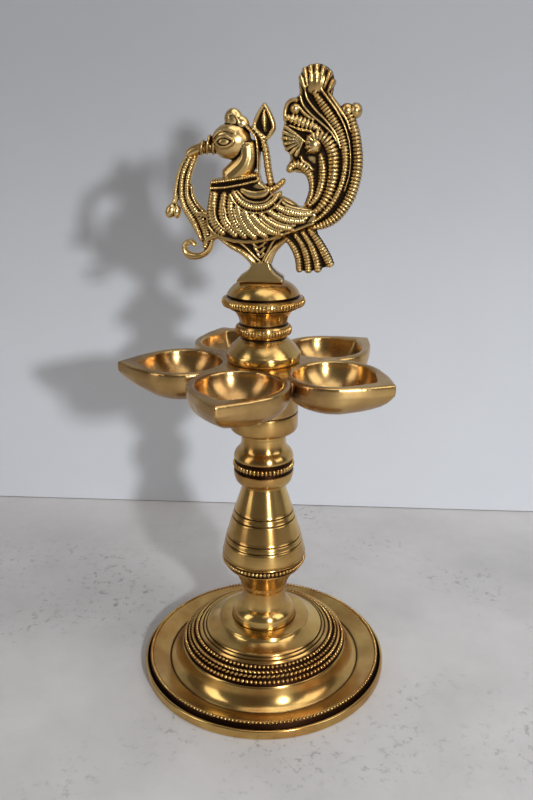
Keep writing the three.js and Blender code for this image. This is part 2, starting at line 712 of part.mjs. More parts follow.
const lamp = new THREE.Group();
lamp.position.set(middleOffset(Math.cos), middleOffset(Math.sin), 0);
lamp.add(piece("base", base(), polishedBrass));
lamp.add(piece("base_stud", baseStud(), satinBrass));
lamp.add(piece("stem", stem(), polishedBrass));
lamp.add(piece("lamp_hub", hub(), satinBrass));
cupAngles().forEach((angle, i) => {
  const turnedCup = new THREE.Group();
  turnedCup.rotation.z = THREE.MathUtils.degToRad(angle);
  turnedCup.add(piece(`cup_${i + 1}`, cupSolid(), satinBrass));
  lamp.add(turnedCup);
});
lamp.add(piece("top_stud", topStud(), satinBrass));
lamp.add(piece("finial", finial(), polishedBrass));
lamp.add(piece("bird", peacock(), oldBrass));
lamp.add(piece("bird_pin", birdPin(), oldBrass));
console.log("lamp axis at", lamp.position.x, lamp.position.y, "finial top", finialTop);

const whole = new THREE.Group();
whole.add(lamp);
export default whole;
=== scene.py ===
# %% [markdown]
# A brass oil lamp with five cups and a cast peacock. Everything here is dressed over a frame:
# solids that were made in a CAD program, at their real size. The frame is loaded first. The
# lamp's axis and the heights at which its pieces meet are read from it, so that they sit on
# one another exactly.

# %% Load the frame
import math
import bpy
import numpy as np
from mathutils import Matrix, Vector


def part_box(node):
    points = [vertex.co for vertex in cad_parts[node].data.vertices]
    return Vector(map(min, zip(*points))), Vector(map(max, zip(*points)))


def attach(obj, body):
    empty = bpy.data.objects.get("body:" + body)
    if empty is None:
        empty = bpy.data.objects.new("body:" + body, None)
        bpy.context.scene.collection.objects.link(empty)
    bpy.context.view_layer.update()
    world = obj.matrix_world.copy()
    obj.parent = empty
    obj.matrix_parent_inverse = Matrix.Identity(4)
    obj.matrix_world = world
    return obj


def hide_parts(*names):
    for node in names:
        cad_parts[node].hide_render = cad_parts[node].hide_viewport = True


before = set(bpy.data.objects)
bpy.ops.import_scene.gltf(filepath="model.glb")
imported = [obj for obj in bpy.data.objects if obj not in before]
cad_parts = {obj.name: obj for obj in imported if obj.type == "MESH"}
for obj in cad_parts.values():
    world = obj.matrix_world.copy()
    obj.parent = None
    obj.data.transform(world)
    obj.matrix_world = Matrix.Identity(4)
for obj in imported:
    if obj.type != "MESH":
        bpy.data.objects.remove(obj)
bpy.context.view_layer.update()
MM = 0.001
stem_low, stem_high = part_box("stem")
AXIS_X = (stem_low.x + stem_high.x) / 2
AXIS_Y = (stem_low.y + stem_high.y) / 2
SEAT = stem_low.z / MM
FLANGE_TOP = stem_high.z / MM
CUP_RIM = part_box("lamp_hub")[1].z / MM
DOME_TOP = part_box("finial")[1].z / MM
print("lamp axis at", round(AXIS_X, 5), round(AXIS_Y, 5))

# %% [markdown]
# A modelling session starts from a clear selection. The frame's parts arrive selected, and an
# operator acts on all that is selected, so each piece begins by letting go of everything. A
# piece is then settled, copied, joined with others, given its metal or changed by a modifier
# through the same few steps.

# %% Steps that every piece needs
def clear_selection():
    if bpy.context.object and bpy.context.object.mode != "OBJECT":
        bpy.ops.object.mode_set(mode="OBJECT")
    bpy.ops.object.select_all(action="DESELECT")


def use(piece):
    clear_selection()
    piece.select_set(True)
    bpy.context.view_layer.objects.active = piece


def settle(piece, smooth_angle=40):
    use(piece)
    bpy.ops.object.transform_apply(location=True, rotation=True, scale=True)
    bpy.ops.object.shade_smooth_by_angle(angle=math.radians(smooth_angle))


def copy_of(piece):
    copy = piece.copy()
    copy.data = piece.data.copy()
    bpy.context.collection.objects.link(copy)
    return copy


def join(pieces):
    clear_selection()
    for piece in pieces:
        piece.select_set(True)
    bpy.context.view_layer.objects.active = pieces[0]
    bpy.ops.object.join()
    return pieces[0]


def wear(piece, material):
    piece.data.materials.clear()
    piece.data.materials.append(material)


def modify(piece, kind, **settings):
    use(piece)
    modifier = piece.modifiers.new(kind, kind)
    for setting, value in settings.items():
        setattr(modifier, setting, value)
    bpy.ops.object.modifier_apply(modifier=modifier.name)


def close_mesh():
    bpy.ops.mesh.select_all(action="SELECT")
    bpy.ops.mesh.normals_make_consistent(inside=False)
    bpy.ops.object.mode_set(mode="OBJECT")

# %% [markdown]
# Brass on this lamp is one metal in several states. Where hands and cloths reach, it is bright.
# In the cups it is satin and reddish. In every groove an old dark wax has stayed. One function
# makes them all: a warm base colour, a slow blotchy change, fine turning marks and a dark
# colour that follows an attribute painted on the mesh, for the wax, and the closeness of walls,
# which is painted shade laid into the colour where walls close in. Its nodes are added by the
# short helpers below.

# %% Node helpers
def new_material(name):
    material = bpy.data.materials.new(name)
    material.use_nodes = True
    tree = material.node_tree
    shader = tree.nodes["Principled BSDF"]
    shader.inputs["Metallic"].default_value = 1.0
    return material, tree, shader


def add_node(tree, kind, inputs=None, **settings):
    node = tree.nodes.new("ShaderNode" + kind)
    for setting, value in settings.items():
        setattr(node, setting, value)
    for socket, value in (inputs or {}).items():
        if isinstance(value, bpy.types.NodeSocket):
            tree.links.new(value, node.inputs[socket])
        else:
            node.inputs[socket].default_value = value
    return node


def math_node(tree, operation, first, second=0.0, clamp=False):
    inputs = {0: first, 1: second}
    return add_node(tree, "Math", inputs, operation=operation, use_clamp=clamp).outputs[0]


def mix_colour(tree, share, first, second):
    if isinstance(first, tuple):
        first = (*first, 1.0)
    if isinstance(second, tuple):
        second = (*second, 1.0)
    return add_node(tree, "Mix", {0: share, 6: first, 7: second}, data_type="RGBA").outputs[2]


def noise(tree, vector, scale, detail=3.0, roughness=0.55):
    inputs = {"Vector": vector, "Scale": scale, "Detail": detail, "Roughness": roughness}
    return add_node(tree, "TexNoise", inputs).outputs["Fac"]


def ramp(tree, value, low, high, **settings):
    inputs = {"Value": value, "From Min": low, "From Max": high}
    return add_node(tree, "MapRange", inputs, **settings).outputs["Result"]


def attribute(tree, name, output):
    return add_node(tree, "Attribute", attribute_name=name).outputs[output]

# %% [markdown]
# Turning marks are rings round an axis. The height along the axis and the distance from it are
# given to a noise with a very fine scale, and the angle is left out, so the marks run round.
# Such marks stretch each highlight across themselves, which gives the long streaks down the
# stem and the rays in the bowls. So the shader is told which way the marks run, and its
# anisotropy is turned by a quarter. In the cups the marks run round the middle of each bowl,
# which an attribute of the mesh gives.

# %% Brass
TURNING_SCALE = 2600.0
BLOTCH_SCALE = 55.0
SPECK_SCALE = 900.0
BLOTCH_FROM, BLOTCH_FULL = 0.35, 0.7
WALL_SAMPLES = 6
OPEN_WALLS, CLOSE_WALLS = 0.72, 0.28
CLEAN, BLACK = 0.25, 0.85
RAGGED_EDGE = 0.5
DULL_IN_BLOTCH = 0.12
DULL_IN_PATINA = 0.35
BUMP_STRENGTH = 0.35
MARK_HEIGHT = 0.00006
STREAKS = 0.75
QUARTER_TURN = 0.25


def brass(name, bright, deep, dark, roughness, marks=0.35, grain=0.0, reach=1.6, turned_in=None):
    material, tree, shader = new_material(name)
    place = add_node(tree, "TexCoord").outputs["Object"]
    if turned_in:
        from_axis = attribute(tree, turned_in, "Vector")
    else:
        from_axis = add_node(tree, "Mapping", {
            "Vector": place, "Location": (-AXIS_X, -AXIS_Y, 0)}).outputs[0]
    x, y, z = add_node(tree, "SeparateXYZ", {0: from_axis}).outputs
    radius = math_node(tree, "SQRT", math_node(
        tree, "ADD", math_node(tree, "MULTIPLY", x, x), math_node(tree, "MULTIPLY", y, y)))
    rings = add_node(tree, "CombineXYZ", {0: radius, 2: z}).outputs[0]
    turning = noise(tree, rings, TURNING_SCALE, 2.0)
    blotch = noise(tree, place, BLOTCH_SCALE, 4.0)
    speck = noise(tree, place, SPECK_SCALE, 2.0)
    colour = mix_colour(tree, ramp(tree, blotch, BLOTCH_FROM, BLOTCH_FULL), bright, deep)
    # Painted shade: where walls close in, the colour is pulled towards the dark one, as shade falls
    # there; together with the wax attribute this makes one dark mask.
    walls = add_node(tree, "AmbientOcclusion", {"Distance": reach * MM},
                     samples=WALL_SAMPLES, only_local=True)
    hollow = ramp(tree, walls.outputs["AO"], OPEN_WALLS, CLOSE_WALLS)
    darkening = math_node(tree, "ADD", hollow, attribute(tree, "patina", "Fac"))
    ragged = math_node(tree, "ADD", darkening, math_node(
        tree, "MULTIPLY", math_node(tree, "SUBTRACT", speck, 0.5), RAGGED_EDGE))
    patina = ramp(tree, ragged, CLEAN, BLACK)
    tree.links.new(mix_colour(tree, patina, colour, dark), shader.inputs["Base Color"])
    dull = math_node(tree, "MULTIPLY", blotch, DULL_IN_BLOTCH)
    duller = math_node(tree, "MULTIPLY", patina, DULL_IN_PATINA)
    rough = math_node(tree, "ADD", math_node(tree, "ADD", roughness, dull), duller, clamp=True)
    tree.links.new(rough, shader.inputs["Roughness"])
    height = math_node(tree, "MULTIPLY", turning, marks)
    if grain:
        height = math_node(tree, "ADD", height, math_node(tree, "MULTIPLY", speck, grain))
    bump = add_node(tree, "Bump", {
        "Strength": BUMP_STRENGTH, "Distance": MARK_HEIGHT, "Height": height})
    tree.links.new(bump.outputs[0], shader.inputs["Normal"])
    if marks:
        round_axis = add_node(tree, "CombineXYZ", {0: math_node(tree, "MULTIPLY", y, -1.0), 1: x})
        in_world = add_node(tree, "VectorTransform", {0: round_axis.outputs[0]},
                            vector_type="VECTOR", convert_from="OBJECT", convert_to="WORLD")
        tree.links.new(in_world.outputs[0], shader.inputs["Tangent"])
        shader.inputs["Anisotropic"].default_value = STREAKS
        shader.inputs["Anisotropic Rotation"].default_value = QUARTER_TURN
    return material


HANDLED = (0.68, 0.46, 0.16)
HANDLED_DEEP = (0.42, 0.21, 0.06)
CAST_BRIGHT = (0.72, 0.52, 0.22)
CAST_DEEP = (0.52, 0.33, 0.12)
SATIN_BRIGHT = (0.60, 0.40, 0.155)
SATIN_DEEP = (0.36, 0.19, 0.07)
# The darkest colours serve both the wax in the grooves and the painted shade where walls close in.
POLISH_WAX_AND_SHADE = (0.030, 0.012, 0.006)
SATIN_WAX_AND_SHADE = (0.04, 0.016, 0.008)
CAST_WAX_AND_SHADE = (0.016, 0.009, 0.006)

# The reach is how far the closeness of walls is felt: the satin's wide reach lays painted shade into
# the bowls and under the cups, and the short ones darken mostly the grooves, along with the wax.
polished = brass("polished_brass", HANDLED, HANDLED_DEEP, POLISH_WAX_AND_SHADE, 0.16, grain=0.3, reach=2.4)
satin = brass("satin_brass", SATIN_BRIGHT, SATIN_DEEP, SATIN_WAX_AND_SHADE, 0.2, marks=0.4, grain=0.5,
              reach=6.0, turned_in="bowl_place")
stud_brass = brass("stud_brass", SATIN_BRIGHT, HANDLED_DEEP, SATIN_WAX_AND_SHADE, 0.25)
antique = brass("antique_brass", CAST_BRIGHT, CAST_DEEP, CAST_WAX_AND_SHADE, 0.22, marks=0.0, grain=0.6,
                reach=1.2)
for finish in (polished, satin, stud_brass, antique):
    print(finish.name, "nodes", len(finish.node_tree.nodes))

# %% [markdown]
# The base, the stem and the finial are turned on a lathe. Blender's lathe is Spin: an outline is
# drawn point by point on one side of the axis, by extruding a single vertex, and Spin carries it
# round. Each outline is a list of a radius, a height and how dark the patina lies there.

# %% Draw and spin an outline
LATHE_STEPS = 128
SAME_POINT = 0.005


def curve(start, handle, end, count=8, patina=0.0):
    points = []
    for i in range(1, count + 1):
        t = i / count
        points.append(tuple((1 - t) ** 2 * a + 2 * t * (1 - t) * b + t * t * c
                            for a, b, c in zip(start, handle, end)) + (patina,))
    return points


def paint_patina(piece, outline):
    layer = piece.data.attributes.new("patina", "FLOAT", "POINT")
    for vertex in piece.data.vertices:
        r = math.hypot(vertex.co.x - AXIS_X, vertex.co.y - AXIS_Y) / MM
        z = vertex.co.z / MM
        nearest = min(outline, key=lambda point: (point[0] - r) ** 2 + (point[1] - z) ** 2)
        layer.data[vertex.index].value = nearest[2]


def turned(name, outline):
    clear_selection()
    bpy.ops.mesh.primitive_plane_add(size=MM, location=(AXIS_X, AXIS_Y, 0))
    piece = bpy.context.object
    piece.name = name
    bpy.ops.object.mode_set(mode="EDIT")
    bpy.ops.mesh.merge(type="CENTER")
    here = Vector((outline[0][0], 0, outline[0][1])) * MM
    bpy.ops.transform.translate(value=here)
    for radius, height, _ in outline[1:]:
        there = Vector((radius, 0, height)) * MM
        bpy.ops.mesh.extrude_region_move(TRANSFORM_OT_translate={"value": there - here})
        here = there
    bpy.ops.mesh.select_all(action="SELECT")
    bpy.ops.mesh.spin(steps=LATHE_STEPS, angle=2 * math.pi, center=(AXIS_X, AXIS_Y, 0),
                      axis=(0, 0, 1))
    bpy.ops.mesh.select_all(action="SELECT")
    bpy.ops.mesh.remove_doubles(threshold=SAME_POINT * MM)
    close_mesh()
    settle(piece)
    paint_patina(piece, outline)
    print(name, "faces", len(piece.data.polygons))
    return piece

# %% [markdown]
# The base is a dished plate with a hollow dome. From outside in: a narrow rim, a blackened
# groove, a flange that falls inwards, a bright cove, the ornamented shoulder and the disc that
# the stem stands on. Under it are the open hollow and the boss that holds the stud. A lathe cut
# every fine step of it in one go, so here too they are points of one outline.

# %% Base
BORE = 4.3
BASE_RADIUS = 50
BOSS_RADIUS = 8.2
BOSS_FOOT = 9
CROWN_RADIUS = 18.4
CROWN = SEAT - 2.7
ROPE_LOW = (31.35, 13.15)
ROPE_HIGH = (29.95, 14.15)
OUTER_BEADS = (32.9, 11.8)
INNER_BEADS = (28.1, 15.2)
RIM_BEADS = (47.3, 5.5)

base_outline = [
    (BORE, SEAT, 0), (BORE, BOSS_FOOT, 0.6), (BOSS_RADIUS, BOSS_FOOT, 0.2),
    (BOSS_RADIUS, CROWN, 0.8), (CROWN_RADIUS, CROWN, 0.3),
]
base_outline += curve((CROWN_RADIUS, CROWN), (28.9, 14.6), (31.9, 9.4), patina=0.3)
base_outline += curve((31.9, 9.4), (33, 2.9), (39.1, 1.3), patina=0.3)
base_outline += [
    (45.8, 3.4, 0.3), (46.4, 0, 0), (49.7, 0, 0), (BASE_RADIUS, 0.3, 0), (BASE_RADIUS, 3.2, 0),
    (49.9, 3.5, 0), (49.6, 3.7, 0), (49.15, 3.7, 0.1), (49.0, 3.2, 0.9), (48.8, 2.2, 1),
    (48.3, 1.9, 1), (47.9, 2.2, 1), (47.85, 4.6, 1), (47.6, 5.1, 0.8), (46.8, 5.35, 0.5),
    (46.4, 5.5, 0.05), (43, 4.3, 0), (40.4, 3.3, 0), (39.7, 3.05, 0.5), (39.4, 2.7, 0.9),
    (39.0, 3.0, 0.4),
]
base_outline += curve((38.8, 3.15), (35.3, 4.2), (34.2, 10.2), 12)
base_outline += [
    (33.9, 10.5, 0.5), (33.5, 10.3, 1), (33.2, 10.9, 1), (32.4, 11.9, 1), (32.0, 12.1, 1),
    (31.6, 12.2, 1), (30.4, 13.4, 1), (29.2, 14.2, 1), (28.8, 14.2, 1), (28.4, 14.6, 1),
    (27.5, 15.3, 1), (27.2, 15.3, 1), (26.9, 15.9, 0.3), (26.4, 16.4, 0), (25.9, 16.35, 0.1),
    (25.5, 16.0, 1), (25.2, 16.5, 0.3), (24.8, 17.0, 0), (24.4, 16.9, 0.2), (24.1, 16.5, 1),
    (23.9, 17.1, 0.3), (23.5, 17.5, 0),
]
base_outline += curve((23.5, 17.5), (20.4, 18.4), (18.7, 19.9))
base_outline += [(18.5, 20.2, 0.4), (18.4, 20.6, 0.4), (18.2, 20.9, 0), (17.8, SEAT, 0)]
base_outline += [(13.6, SEAT, 0.1), (13.0, SEAT, 0.8), (BORE, SEAT, 0)]

base = turned("base_turned", base_outline)
wear(base, polished)

# %% [markdown]
# The stem is one turned bar. Its foot is a short drum with a round shoulder, then come a neck,
# a pear with two pairs of fine grooves, a collar with a row of beads, the upper neck and the
# flange that carries the plate of cups.

# %% Stem
PEAR_BEADS = (16.25, 48.8)
COLLAR_BEADS = (11.1, 89.8)
FOOT_HOLE_TOP = SEAT + 11.4
TOP_HOLE_FLOOR = 99.1

stem_outline = [
    (0, FOOT_HOLE_TOP, 0), (BORE, FOOT_HOLE_TOP, 0), (BORE, SEAT, 0), (12.7, SEAT, 0.6),
    (13.0, SEAT + 0.35, 0.1), (13.0, 22.4, 0), (12.9, 22.7, 0.35), (12.85, 22.9, 0.1),
]
stem_outline += curve((12.85, 22.9), (12.9, 26.0), (9.6, 27.4))
stem_outline += curve((9.6, 27.4), (8.6, 29.9), (8.6, 35.3))
stem_outline += [(8.7, 35.5, 0.4), (9.2, 35.8, 0.1), (9.5, 36.1, 0), (9.6, 37.4, 0),
                 (9.7, 38.2, 0.1)]
stem_outline += curve((10.1, 38.5), (11.2, 42.4), (15.3, 46.0), 10)
stem_outline += [
    (15.6, 46.5, 0.2), (15.5, 46.9, 0.9), (15.7, 47.4, 1), (15.9, 49.5, 1), (15.9, 49.8, 1),
    (16.4, 50.0, 0.2), (16.55, 50.4, 0), (16.4, 50.7, 0.9), (16.65, 51.0, 0.1), (16.7, 51.8, 0),
]


def pear_side(t):
    ends = ((16.7, 50.1), (16.5, 55.7), (11.5, 70.7), (8.1, 81.3))
    weights = ((1 - t) ** 3, 3 * t * (1 - t) ** 2, 3 * t * t * (1 - t), t ** 3)
    return tuple(sum(w * p[i] for w, p in zip(weights, ends)) for i in (0, 1))


PEAR_GROOVES = (0.29, 0.37, 0.60, 0.67)
GROOVE_SPAN = 0.022
GROOVE_SECTION = ((-0.016, 0, 0), (-0.008, 0.1, 0.5), (0, 0.34, 0.9),
                  (0.008, 0.05, 0.5), (0.014, -0.12, 0), (GROOVE_SPAN, 0, 0))
PEAR_START = 0.09
PEAR_STEPS = 28
pear = []
for i in range(PEAR_STEPS + 1):
    share = PEAR_START + (1 - PEAR_START) * i / PEAR_STEPS
    if all(abs(share - groove) > GROOVE_SPAN for groove in PEAR_GROOVES):
        pear.append((*pear_side(share), 0))
for groove in PEAR_GROOVES:
    for offset, depth, patina in GROOVE_SECTION:
        r, z = pear_side(groove + offset)
        pear.append((r - depth, z, patina))
stem_outline += sorted(pear, key=lambda point: point[1])
stem_outline += [(8.1, 81.6, 0.6), (8.4, 81.8, 0.9), (9.2, 81.9, 0.5), (9.8, 82.1, 0.2)]
stem_outline += curve((9.8, 82.1), (11.4, 83.0), (11.75, 86.6))
stem_outline += [
    (11.7, 87.2, 0.2), (11.3, 87.5, 1), (11.0, 88.0, 1), (10.95, 92.0, 1), (11.3, 92.5, 1),
    (11.6, 92.7, 0.3), (11.6, 93.2, 0),
]
stem_outline += curve((11.6, 93.2), (11.2, 95.2), (9.6, 96.3), 6)
stem_outline += curve((9.6, 96.3), (8.4, 97.9), (8.6, 101.6))
stem_outline += [
    (8.8, 101.8, 0.4), (9.3, 102.0, 0.1), (9.5, 102.6, 0), (9.4, 103.2, 0.2), (9.5, 103.5, 0.5),
]
stem_outline += curve((9.6, 103.6), (11.8, 103.4), (12.9, 104.9), 6)
stem_outline += [(13.15, 105.9, 0), (13.2, 110.9, 0), (13.05, FLANGE_TOP, 0.7),
                 (BORE, FLANGE_TOP, 0), (BORE, TOP_HOLE_FLOOR, 0), (0, TOP_HOLE_FLOOR, 0)]

stem = turned("stem_turned", stem_outline)
wear(stem, polished)

# %% [markdown]
# The finial is turned as well: a bell, a small milled ring, a flare, a wide milled ring and a
# flat-topped dome. Milling is a row of upright ribs. The outline stands back a little where
# they go, and the next cell lays them on it.

# %% Finial
PIN_BORE = 2.3
PIN_HOLE_FLOOR = 155.2
STUD_HOLE_TOP = CUP_RIM + 12.4
SMALL_RING = (9.8, 143.3)
WIDE_RING = (14.6, 153.9)

finial_outline = [
    (0, STUD_HOLE_TOP, 0), (BORE, STUD_HOLE_TOP, 0), (BORE, CUP_RIM, 0), (12.9, CUP_RIM, 0.8),
]
finial_outline += curve((13.0, CUP_RIM), (13.75, 131.9), (13.8, 133.4), 6)
finial_outline += [(13.75, 134.6, 0), (13.6, 135.0, 0.1), (13.4, 135.2, 0.1)]
finial_outline += curve((13.4, 135.2), (12.0, 137.6), (8.7, 140.1), 10)
finial_outline += [(8.4, 140.5, 0.9), (8.6, 141.0, 1), (9.3, 141.3, 0.6)]
finial_outline += curve((9.4, 141.4), (10.3, 143.2), (9.5, 145.2))
finial_outline += [(9.0, 145.5, 0.8), (8.7, 145.8, 1), (8.8, 146.2, 0.5)]
finial_outline += curve((8.8, 146.4), (9.6, 150.4), (12.5, 151.5))
finial_outline += [(12.7, 151.8, 0.1), (12.4, 152.0, 0.9), (12.6, 152.3, 1), (13.6, 152.5, 0.6)]
finial_outline += curve((13.8, 152.6), (14.8, 153.3), (14.4, 154.3), 6)
finial_outline += [(14.4, 155.1, 0), (13.6, 155.6, 0.4), (12.5, 155.8, 1), (12.4, 156.1, 1),
                   (12.9, 156.3, 0.5), (13.2, 156.7, 0)]
finial_outline += curve((13.2, 156.7), (11.6, 159.9), (8.2, DOME_TOP), 10)
finial_outline += [(PIN_BORE, DOME_TOP, 0.6), (PIN_BORE, PIN_HOLE_FLOOR, 0),
                   (0, PIN_HOLE_FLOOR, 0)]

finial = turned("finial_turned", finial_outline)
wear(finial, polished)

# %% [markdown]
# Beads are the same small shape many times over. One is modelled, with few faces, and its
# copies are turned round the axis, each with its own mesh, and then joined to one string. The
# rope is two such rows of long beads that lean opposite ways, and milling is a row of upright
# ones.

# %% Beads and milling
def ring_of(name, count, radius, height, size, lean=0.0):
    clear_selection()
    bpy.ops.mesh.primitive_uv_sphere_add(segments=8, ring_count=5, radius=0.5 * MM)
    bead = bpy.context.object
    bead.data.transform(Matrix.Diagonal((*size, 1)))
    bead.data.transform(Matrix.Rotation(lean, 4, "X"))
    beads = [bead] + [copy_of(bead) for _ in range(1, count)]
    for i, copy in enumerate(beads):
        angle = 2 * math.pi * i / count
        turn = Matrix.Translation((AXIS_X, AXIS_Y, height * MM)) @ Matrix.Rotation(angle, 4, "Z")
        copy.data.transform(turn @ Matrix.Translation((radius * MM, 0, 0)))
    join(beads)
    bead.name = name
    settle(bead, 180)
    wear(bead, polished)
    print(name, count, "beads")
    return bead


ROPE_STRAND = (1.3, 2.3, 1.1)
ROPE_LEAN = 0.6

rim_beads = ring_of("rim_beads", 200, *RIM_BEADS, (1.2, 1.25, 1.2))
outer_beads = ring_of("outer_beads", 118, *OUTER_BEADS, (1.6, 1.55, 1.6))
rope_low = ring_of("rope_low", 108, *ROPE_LOW, ROPE_STRAND, ROPE_LEAN)
rope_high = ring_of("rope_high", 108, *ROPE_HIGH, ROPE_STRAND, -ROPE_LEAN)
inner_beads = ring_of("inner_beads", 104, *INNER_BEADS, (1.5, 1.45, 1.5))
pear_beads = ring_of("pear_beads", 66, *PEAR_BEADS, (1.5, 1.4, 1.7))
collar_beads = ring_of("collar_beads", 46, *COLLAR_BEADS, (1.8, 1.45, 2.6))
small_milling = ring_of("small_milling", 52, *SMALL_RING, (1.4, 0.8, 3.2))
wide_milling = ring_of("wide_milling", 74, *WIDE_RING, (1.4, 0.8, 2.6))

# %% [markdown]
# The five cups, the thin web between them and the hub are one casting. A cup is a bowl whose rim
# is drawn out to a spout, like a leaf. It is made from one ring of points: the ring is extruded
# again and again, and at each step it is given the outline that the cup has at that height,
# from the lowest point outside, up to the rim, over its flat land and down into the bowl. A
# spun bowl with a spout pulled out of it would crease where the two meet, and this one doesn't.

# %% One cup
CUP_COUNT = 5
CUP_TURN = math.radians(-99.5)
CUP_CENTRE = 30.2
CUP_TIP = 54.6 - CUP_CENTRE
CUP_RADIUS = 17.9
CUP_BAND = 4.3
CUP_DEPTH = 13.6
CUP_LAND = 3.2
CUP_FLOOR = 2
SPOUT_NOTCH = 2.6
LEAF_SWELL = 0.6
EDGE = 0.5
TIP_FALL = 1.5
BOWL_STEPS = 10
BAND_OUT, BAND_OUT_AT_TIP = 0.3, 0.5
BAND_ROUND = 0.6
MOUTH_DROP = 0.35


def leaf_reach(angle, radius, tip, swell):
    off = abs(angle)
    tangent = math.acos(radius / tip) if tip > radius else 0
    if off >= tangent:
        return radius
    return radius / math.cos(tangent - off) + swell * math.sin(off / tangent * math.pi)


def bowl_ring(radius, tip, top, depth, swell, share):
    turn = share * math.pi / 2
    wide = radius * math.cos(turn)
    reach = wide + (tip - radius) * (1 - share) ** TIP_FALL
    return wide, reach, top - depth * math.sin(turn), swell * (1 - share)


def cup_rings():
    band_foot = CUP_RIM - CUP_BAND
    outside = [bowl_ring(CUP_RADIUS - BAND_OUT, CUP_TIP - BAND_OUT_AT_TIP, band_foot,
                         CUP_DEPTH - CUP_BAND, LEAF_SWELL, i / BOWL_STEPS)
               for i in reversed(range(BOWL_STEPS))]
    side = [(CUP_RADIUS, CUP_TIP, band_foot + BAND_ROUND, LEAF_SWELL),
            (CUP_RADIUS, CUP_TIP, CUP_RIM - EDGE, LEAF_SWELL),
            (CUP_RADIUS - EDGE, CUP_TIP - EDGE, CUP_RIM, LEAF_SWELL)]
    mouth = CUP_RADIUS - CUP_LAND
    land = [(mouth + EDGE, mouth + SPOUT_NOTCH + EDGE, CUP_RIM, 0)]
    inside = [bowl_ring(mouth, mouth + SPOUT_NOTCH, CUP_RIM - MOUTH_DROP,
                        CUP_DEPTH - CUP_FLOOR, 0, i / BOWL_STEPS) for i in range(BOWL_STEPS)]
    return outside + side + land + inside


def shape_ring(radius, tip, height, swell):
    cup = bpy.context.object
    bpy.ops.object.mode_set(mode="OBJECT")
    for vertex in cup.data.vertices:
        if vertex.select:
            angle = math.atan2(vertex.co.y, vertex.co.x)
            reach = leaf_reach(angle, radius, tip, swell) * MM
            vertex.co = (reach * math.cos(angle), reach * math.sin(angle), height * MM)
    bpy.ops.object.mode_set(mode="EDIT")


def model_cup():
    rings = cup_rings()
    clear_selection()
    bpy.ops.mesh.primitive_circle_add(vertices=72, radius=CUP_RADIUS * MM, fill_type="NGON")
    cup = bpy.context.object
    bpy.ops.object.mode_set(mode="EDIT")
    shape_ring(*rings[0])
    for ring in rings[1:]:
        bpy.ops.mesh.extrude_region_move()
        shape_ring(*ring)
    close_mesh()
    print("one cup, faces", len(cup.data.polygons))
    return cup

# %% [markdown]
# Five copies are turned round the hub. The hub's disc reaches into the bowls, so their mouths
# are cut out of it before all are joined. A voxel remesh then melts the overlapping solids into
# one skin, and a little smoothing rounds the edges and the inner corners, just as a mould and a
# polishing wheel do on a real casting. Each point keeps how far it is from the middle of its
# bowl, or from the lamp's axis inside the hub, for the turning marks.

# %% The plate of cups
HUB_RADIUS = 13.2
DISC_RADIUS = 20.5
CUTTER_DEPTH = 16
PLATE_VOXEL = 0.56


def bowl_centre(i):
    angle = CUP_TURN + i * 2 * math.pi / CUP_COUNT
    away = CUP_CENTRE * MM
    return angle, AXIS_X + away * math.cos(angle), AXIS_Y + away * math.sin(angle)


BOWLS = [bowl_centre(i) for i in range(CUP_COUNT)]
DISC_FOOT = CUP_RIM - CUP_BAND

pattern_cup = model_cup()
pieces = []
for angle, x, y in BOWLS:
    cup = copy_of(pattern_cup)
    cup.data.transform(Matrix.Translation((x, y, 0)) @ Matrix.Rotation(angle, 4, "Z"))
    pieces.append(cup)
bpy.data.objects.remove(pattern_cup)
hub = turned("hub", [
    (BORE, FLANGE_TOP, 0), (HUB_RADIUS - 0.3, FLANGE_TOP, 0), (HUB_RADIUS, FLANGE_TOP + 0.3, 0),
    (HUB_RADIUS, DISC_FOOT - 1.5, 0), (HUB_RADIUS + 2, DISC_FOOT, 0),
    (DISC_RADIUS, DISC_FOOT + 0.6, 0), (DISC_RADIUS, CUP_RIM, 0), (BORE, CUP_RIM, 0),
    (BORE, FLANGE_TOP, 0)])
for _, x, y in BOWLS:
    clear_selection()
    bpy.ops.mesh.primitive_cylinder_add(vertices=96, radius=(CUP_RADIUS - CUP_LAND / 2) * MM,
                                        depth=CUTTER_DEPTH * MM, location=(x, y, CUP_RIM * MM))
    mouth_cutter = bpy.context.object
    modify(hub, "BOOLEAN", operation="DIFFERENCE", object=mouth_cutter)
    bpy.data.objects.remove(mouth_cutter)
pieces.append(hub)
plate = join(pieces)
plate.name = "lamp_plate"


def melt(piece, voxel, smoothing):
    modify(piece, "REMESH", mode="VOXEL", voxel_size=voxel * MM, use_smooth_shade=True)
    modify(piece, "SMOOTH", factor=0.5, iterations=smoothing)
    settle(piece, 180)
    print(piece.name, "faces", len(piece.data.polygons))
    return piece


melt(plate, PLATE_VOXEL, 3)
place_layer = plate.data.attributes.new("bowl_place", "FLOAT_VECTOR", "POINT")
for vertex in plate.data.vertices:
    across, along, up = vertex.co
    _, x, y = min(BOWLS, key=lambda bowl: (bowl[1] - across) ** 2 + (bowl[2] - along) ** 2)
    if math.hypot(across - AXIS_X, along - AXIS_Y) < (HUB_RADIUS + 0.5) * MM:
        x, y = AXIS_X, AXIS_Y
    place_layer.data[vertex.index].vector = (across - x, along - y, up)
wear(plate, satin)

# %% [markdown]
# The peacock is a casting: soft, full forms with deep carving that an old wax has blackened.
# A sculptor builds such a figure from rolls of wax, and so does this cell. A roll is a row of
# round lumps along a smooth line. Where the lumps lie close it is smooth, as the neck, and
# where they lie apart it is ribbed, as a feather. The flat parts are outlines with a bevel.
# Places are in millimetres from the middle of the finial's top, across and up, and the third
# number of a station is half the roll's width there.

# %% Rolls of wax
BIRD_FOOT = Vector((AXIS_X, AXIS_Y, DOME_TOP * MM))
FINE_STEPS = 24
LONGEST_STEP = 0.6
STEP_TO_HALF = 0.8
RIB_LENGTH = 0.66
LUMP_LENGTH = 1.6
LUMP_TO_HALF = 0.6
SHARP = math.radians(60)


